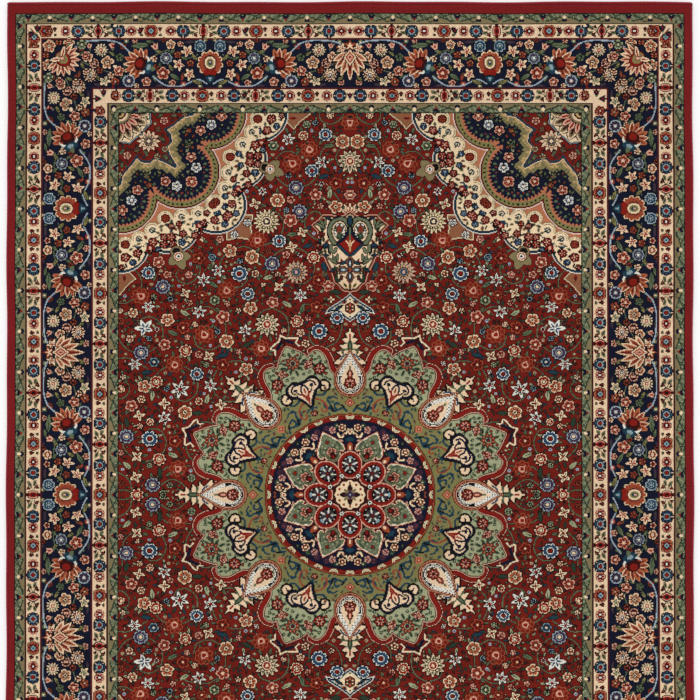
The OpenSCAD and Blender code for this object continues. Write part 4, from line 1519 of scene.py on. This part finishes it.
def wrapped_edge(name, start, end, width, height, pitch, material):
    """An edge bound with yarn: rounded, with one ridge for each turn of the yarn."""
    (x0, y0), (x1, y1) = start, end
    length = math.hypot(x1 - x0, y1 - y0)
    count = int(length / pitch) * STEPS_PER_TURN
    t = np.linspace(0, 1, count + 1)
    phase = (np.arange(count + 1) % STEPS_PER_TURN) / STEPS_PER_TURN
    ridge = RIDGE * np.abs(np.sin(math.pi * phase)) - RIDGE
    jitter = rng.normal(0, 0.06, count + 1)
    around = np.radians(np.linspace(-90, 270, POINTS_AROUND, endpoint=False))
    grow_by = (ridge + jitter)[:, None]
    across = (width / 2 + grow_by * 0.5) * np.sign(np.cos(around)) * np.abs(np.cos(around)) ** 0.7
    up = height / 2 + (height / 2 + grow_by) * np.sign(np.sin(around)) * np.abs(np.sin(around)) ** 0.8
    slant = across / width * pitch * 0.5
    along_x, along_y = (x1 - x0) / length, (y1 - y0) / length
    px = x0 + (x1 - x0) * t[:, None] + along_y * across + along_x * slant
    py = y0 + (y1 - y0) * t[:, None] - along_x * across + along_y * slant
    lx, ly = lay(np.clip(px, -HALF_W, HALF_W), np.clip(py, -HALF_L, HALF_L))
    verts = np.stack([lx, ly, np.clip(up, 0, None)], -1).reshape(-1, 3)
    n = len(around)
    i = np.arange(count)[:, None] * n
    j = np.arange(n)[None, :]
    faces = np.stack([i + j, i + (j + 1) % n, i + n + (j + 1) % n, i + n + j], -1).reshape(-1, 4)
    return new_mesh(name, verts * MM, faces, material, smooth=True)


def edge_piece(node):
    """The wrapped yarn of one serged side or one hem, along the longer way of its CAD node's box."""
    (x0, y0, _), (x1, y1, z1) = (np.array(end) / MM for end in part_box(node))
    if node.startswith("serging"):
        ends, width, pitch = (((x0 + x1) / 2, y0), ((x0 + x1) / 2, y1)), x1 - x0, SERGING_PITCH
    else:
        ends, width, pitch = ((x0, (y0 + y1) / 2), (x1, (y0 + y1) / 2)), y1 - y0, HEM_PITCH
    return wrapped_edge(f"{node}_yarn", *ends, width, z1, pitch, MATERIALS[slot_of(node)])


def ground_sheet(name, material):
    """The woven ground: a thin slab whose underside has the ribs of the weft."""
    lo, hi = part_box("ground_weave")
    xs = np.linspace(lo[0] / MM, hi[0] / MM, GROUND_COLUMNS)
    ys = np.linspace(lo[1] / MM, hi[1] / MM, GROUND_ROWS)
    gx, gy = np.meshgrid(xs, ys)
    lx, ly = lay(gx, gy)
    rib = np.where(np.arange(len(ys)) % 2, RIB, 0.0)[:, None] * np.ones_like(gx)
    under = np.stack([lx, ly, rib], -1).reshape(-1, 3)
    over = np.stack([lx, ly, np.full_like(lx, hi[2] / MM)], -1).reshape(-1, 3)
    w, h = len(xs), len(ys)
    a = (np.arange(h - 1)[:, None] * w + np.arange(w - 1)[None, :]).ravel()
    bottom = np.stack([a, a + w, a + w + 1, a + 1], 1)
    upper = bottom[:, ::-1] + w * h
    edge = np.concatenate([np.arange(w - 1), (np.arange(h - 1) + 1) * w - 1, w * h - 1 - np.arange(w - 1),
                           (h - 1 - np.arange(h - 1)) * w])
    after = np.roll(edge, -1)
    wall = np.stack([edge, after, after + w * h, edge + w * h], 1)
    return new_mesh(name, np.vstack([under, over]) * MM, np.vstack([bottom, upper, wall]), material)


# ---------------------------------------------------------------- the rug
def tuft_colours(yarn_grid):
    """Each tuft's colour: its yarn's, with small differences from tuft to tuft and from row to row."""
    rows, cols = yarn_grid.shape
    colours = np.array([srgb(code) for code in YARNS.values()])[yarn_grid]
    colours *= 1 + rng.normal(0, TUFT_COLOUR_SPREAD, (rows, cols, 1))
    row = np.arange(rows)
    colours *= 1 + 0.05 * np.sin(row / 23.0 + 2 * np.sin(row / 61.0))[:, None, None]
    return np.clip(colours, 0.002, 0.95)


def tuft_corners(rows, cols):
    """The corners of all tuft tops, lower along the rug's edges."""
    gx, gy = np.meshgrid((np.arange(cols + 1) - cols / 2) * TUFT, (np.arange(rows + 1) - rows / 2) * TUFT)
    rim = np.minimum((cols / 2 * TUFT - np.abs(gx)), (rows / 2 * TUFT - np.abs(gy)))
    drop = EDGE_DROP * np.exp(-rim / EDGE_DROP_REACH)
    uneven = rng.normal(0, TUFT_HEIGHT_SPREAD, gx.shape).clip(-PILE_SLACK, PILE_SLACK)
    lx, ly = lay(gx, gy)
    return np.stack([lx, ly, PILE_TOP - PILE_SLACK + uneven - drop], -1).reshape(-1, 3) * MM


def node_map(zone, names):
    """The index in names of the CAD node under each tuft of the whole rug."""
    h, w = zone.shape
    grid = np.zeros((2 * h, 2 * w), np.int16)
    for right in (0, 1):
        for head in (0, 1):
            quadrant = np.array([names.index(node_of(z, right, head)) for z in ZONES], np.int16)[zone]
            quadrant = quadrant if head else quadrant[::-1]
            quadrant = quadrant if right else quadrant[:, ::-1]
            grid[h * head : h * (head + 1), w * right : w * (right + 1)] = quadrant
    return grid


MATERIALS = {slot: pile_material(slot, *looks) for slot, looks in PILES.items()}
MATERIALS.update({slot: yarn_material(slot, *looks) for slot, looks in PLIED_YARNS.items()})

shape = shape_from_frame()
design = paint(shape, TUFT)
yarn_grid = mirrored(design.yarn)
colours = tuft_colours(yarn_grid)
corners = tuft_corners(*yarn_grid.shape)
node_names = sorted({node_of(z, right, head) for z in ZONES for right in (0, 1) for head in (0, 1)})
node_grid = node_map(zone_map(design, shape), node_names)

pieces = {}
for index, node in enumerate(node_names):
    pieces[node] = pile_piece(f"{node}_pile", node_grid == index, corners, colours, MATERIALS[slot_of(node)])
for node in ("serging_left", "serging_right", "hem_foot", "hem_head"):
    pieces[node] = edge_piece(node)
pieces["ground_weave"] = ground_sheet("ground_weave_cloth", MATERIALS["ground_yarn"])

for node, piece in pieces.items():
    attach(piece, "root")
    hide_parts(node)

# ---------------------------------------------------------------- studio
FLOOR_SIZE = 240
FLOOR_GAP = 0.0005
FLOOR_WHITE = 0.88
SKY_STRENGTH = 0.735
SUN_STRENGTH = 1.58
SUN_SOFTNESS = 25
SUN_TILT = (-32, -14)
LENS, SENSOR = 85, 36
VIEW_WIDTH = 1.628
CAMERA_TILT = 0.68
AIM_Y = 0.3364


def add_floor():
    """A plain pale floor, well past the edges of any view."""
    bpy.ops.mesh.primitive_plane_add(size=FLOOR_SIZE, location=(0, 0, -FLOOR_GAP))
    floor = bpy.context.object
    floor.name = "floor"
    paper = Nodes("studio_paper")
    paper.set(paper.bsdf, {"Base Color": (FLOOR_WHITE,) * 3 + (1,), "Roughness": 0.9, "Specular IOR Level": 0.1})
    floor.data.materials.append(paper.material)


def add_light():
    """An even white sky and one soft lamp from the head left."""
    world = bpy.data.worlds.new("studio")
    bpy.context.scene.world = world
    world.use_nodes = True
    world.node_tree.nodes["Background"].inputs["Color"].default_value = (1, 1, 1, 1)
    world.node_tree.nodes["Background"].inputs["Strength"].default_value = SKY_STRENGTH
    lamp_data = bpy.data.lights.new("key", "SUN")
    lamp_data.energy = SUN_STRENGTH
    lamp_data.angle = math.radians(SUN_SOFTNESS)
    lamp = bpy.data.objects.new("key", lamp_data)
    lamp.rotation_euler = (*map(math.radians, SUN_TILT), 0)
    bpy.context.scene.collection.objects.link(lamp)


def add_camera():
    """A long lens almost straight above the rug, at the photo's angle and framing."""
    camera_data = bpy.data.cameras.new("camera")
    camera_data.lens = LENS
    camera = bpy.data.objects.new("camera", camera_data)
    tilt = math.radians(CAMERA_TILT)
    away = VIEW_WIDTH * LENS / SENSOR
    camera.location = (0.0, AIM_Y - away * math.sin(tilt), PILE_TOP * MM + away * math.cos(tilt))
    camera.rotation_euler = (tilt, 0, 0)
    bpy.context.scene.collection.objects.link(camera)
    bpy.context.scene.camera = camera


add_floor()
add_light()
add_camera()
bpy.context.scene.view_settings.view_transform = "Standard"
bpy.context.scene.view_settings.look = "None"
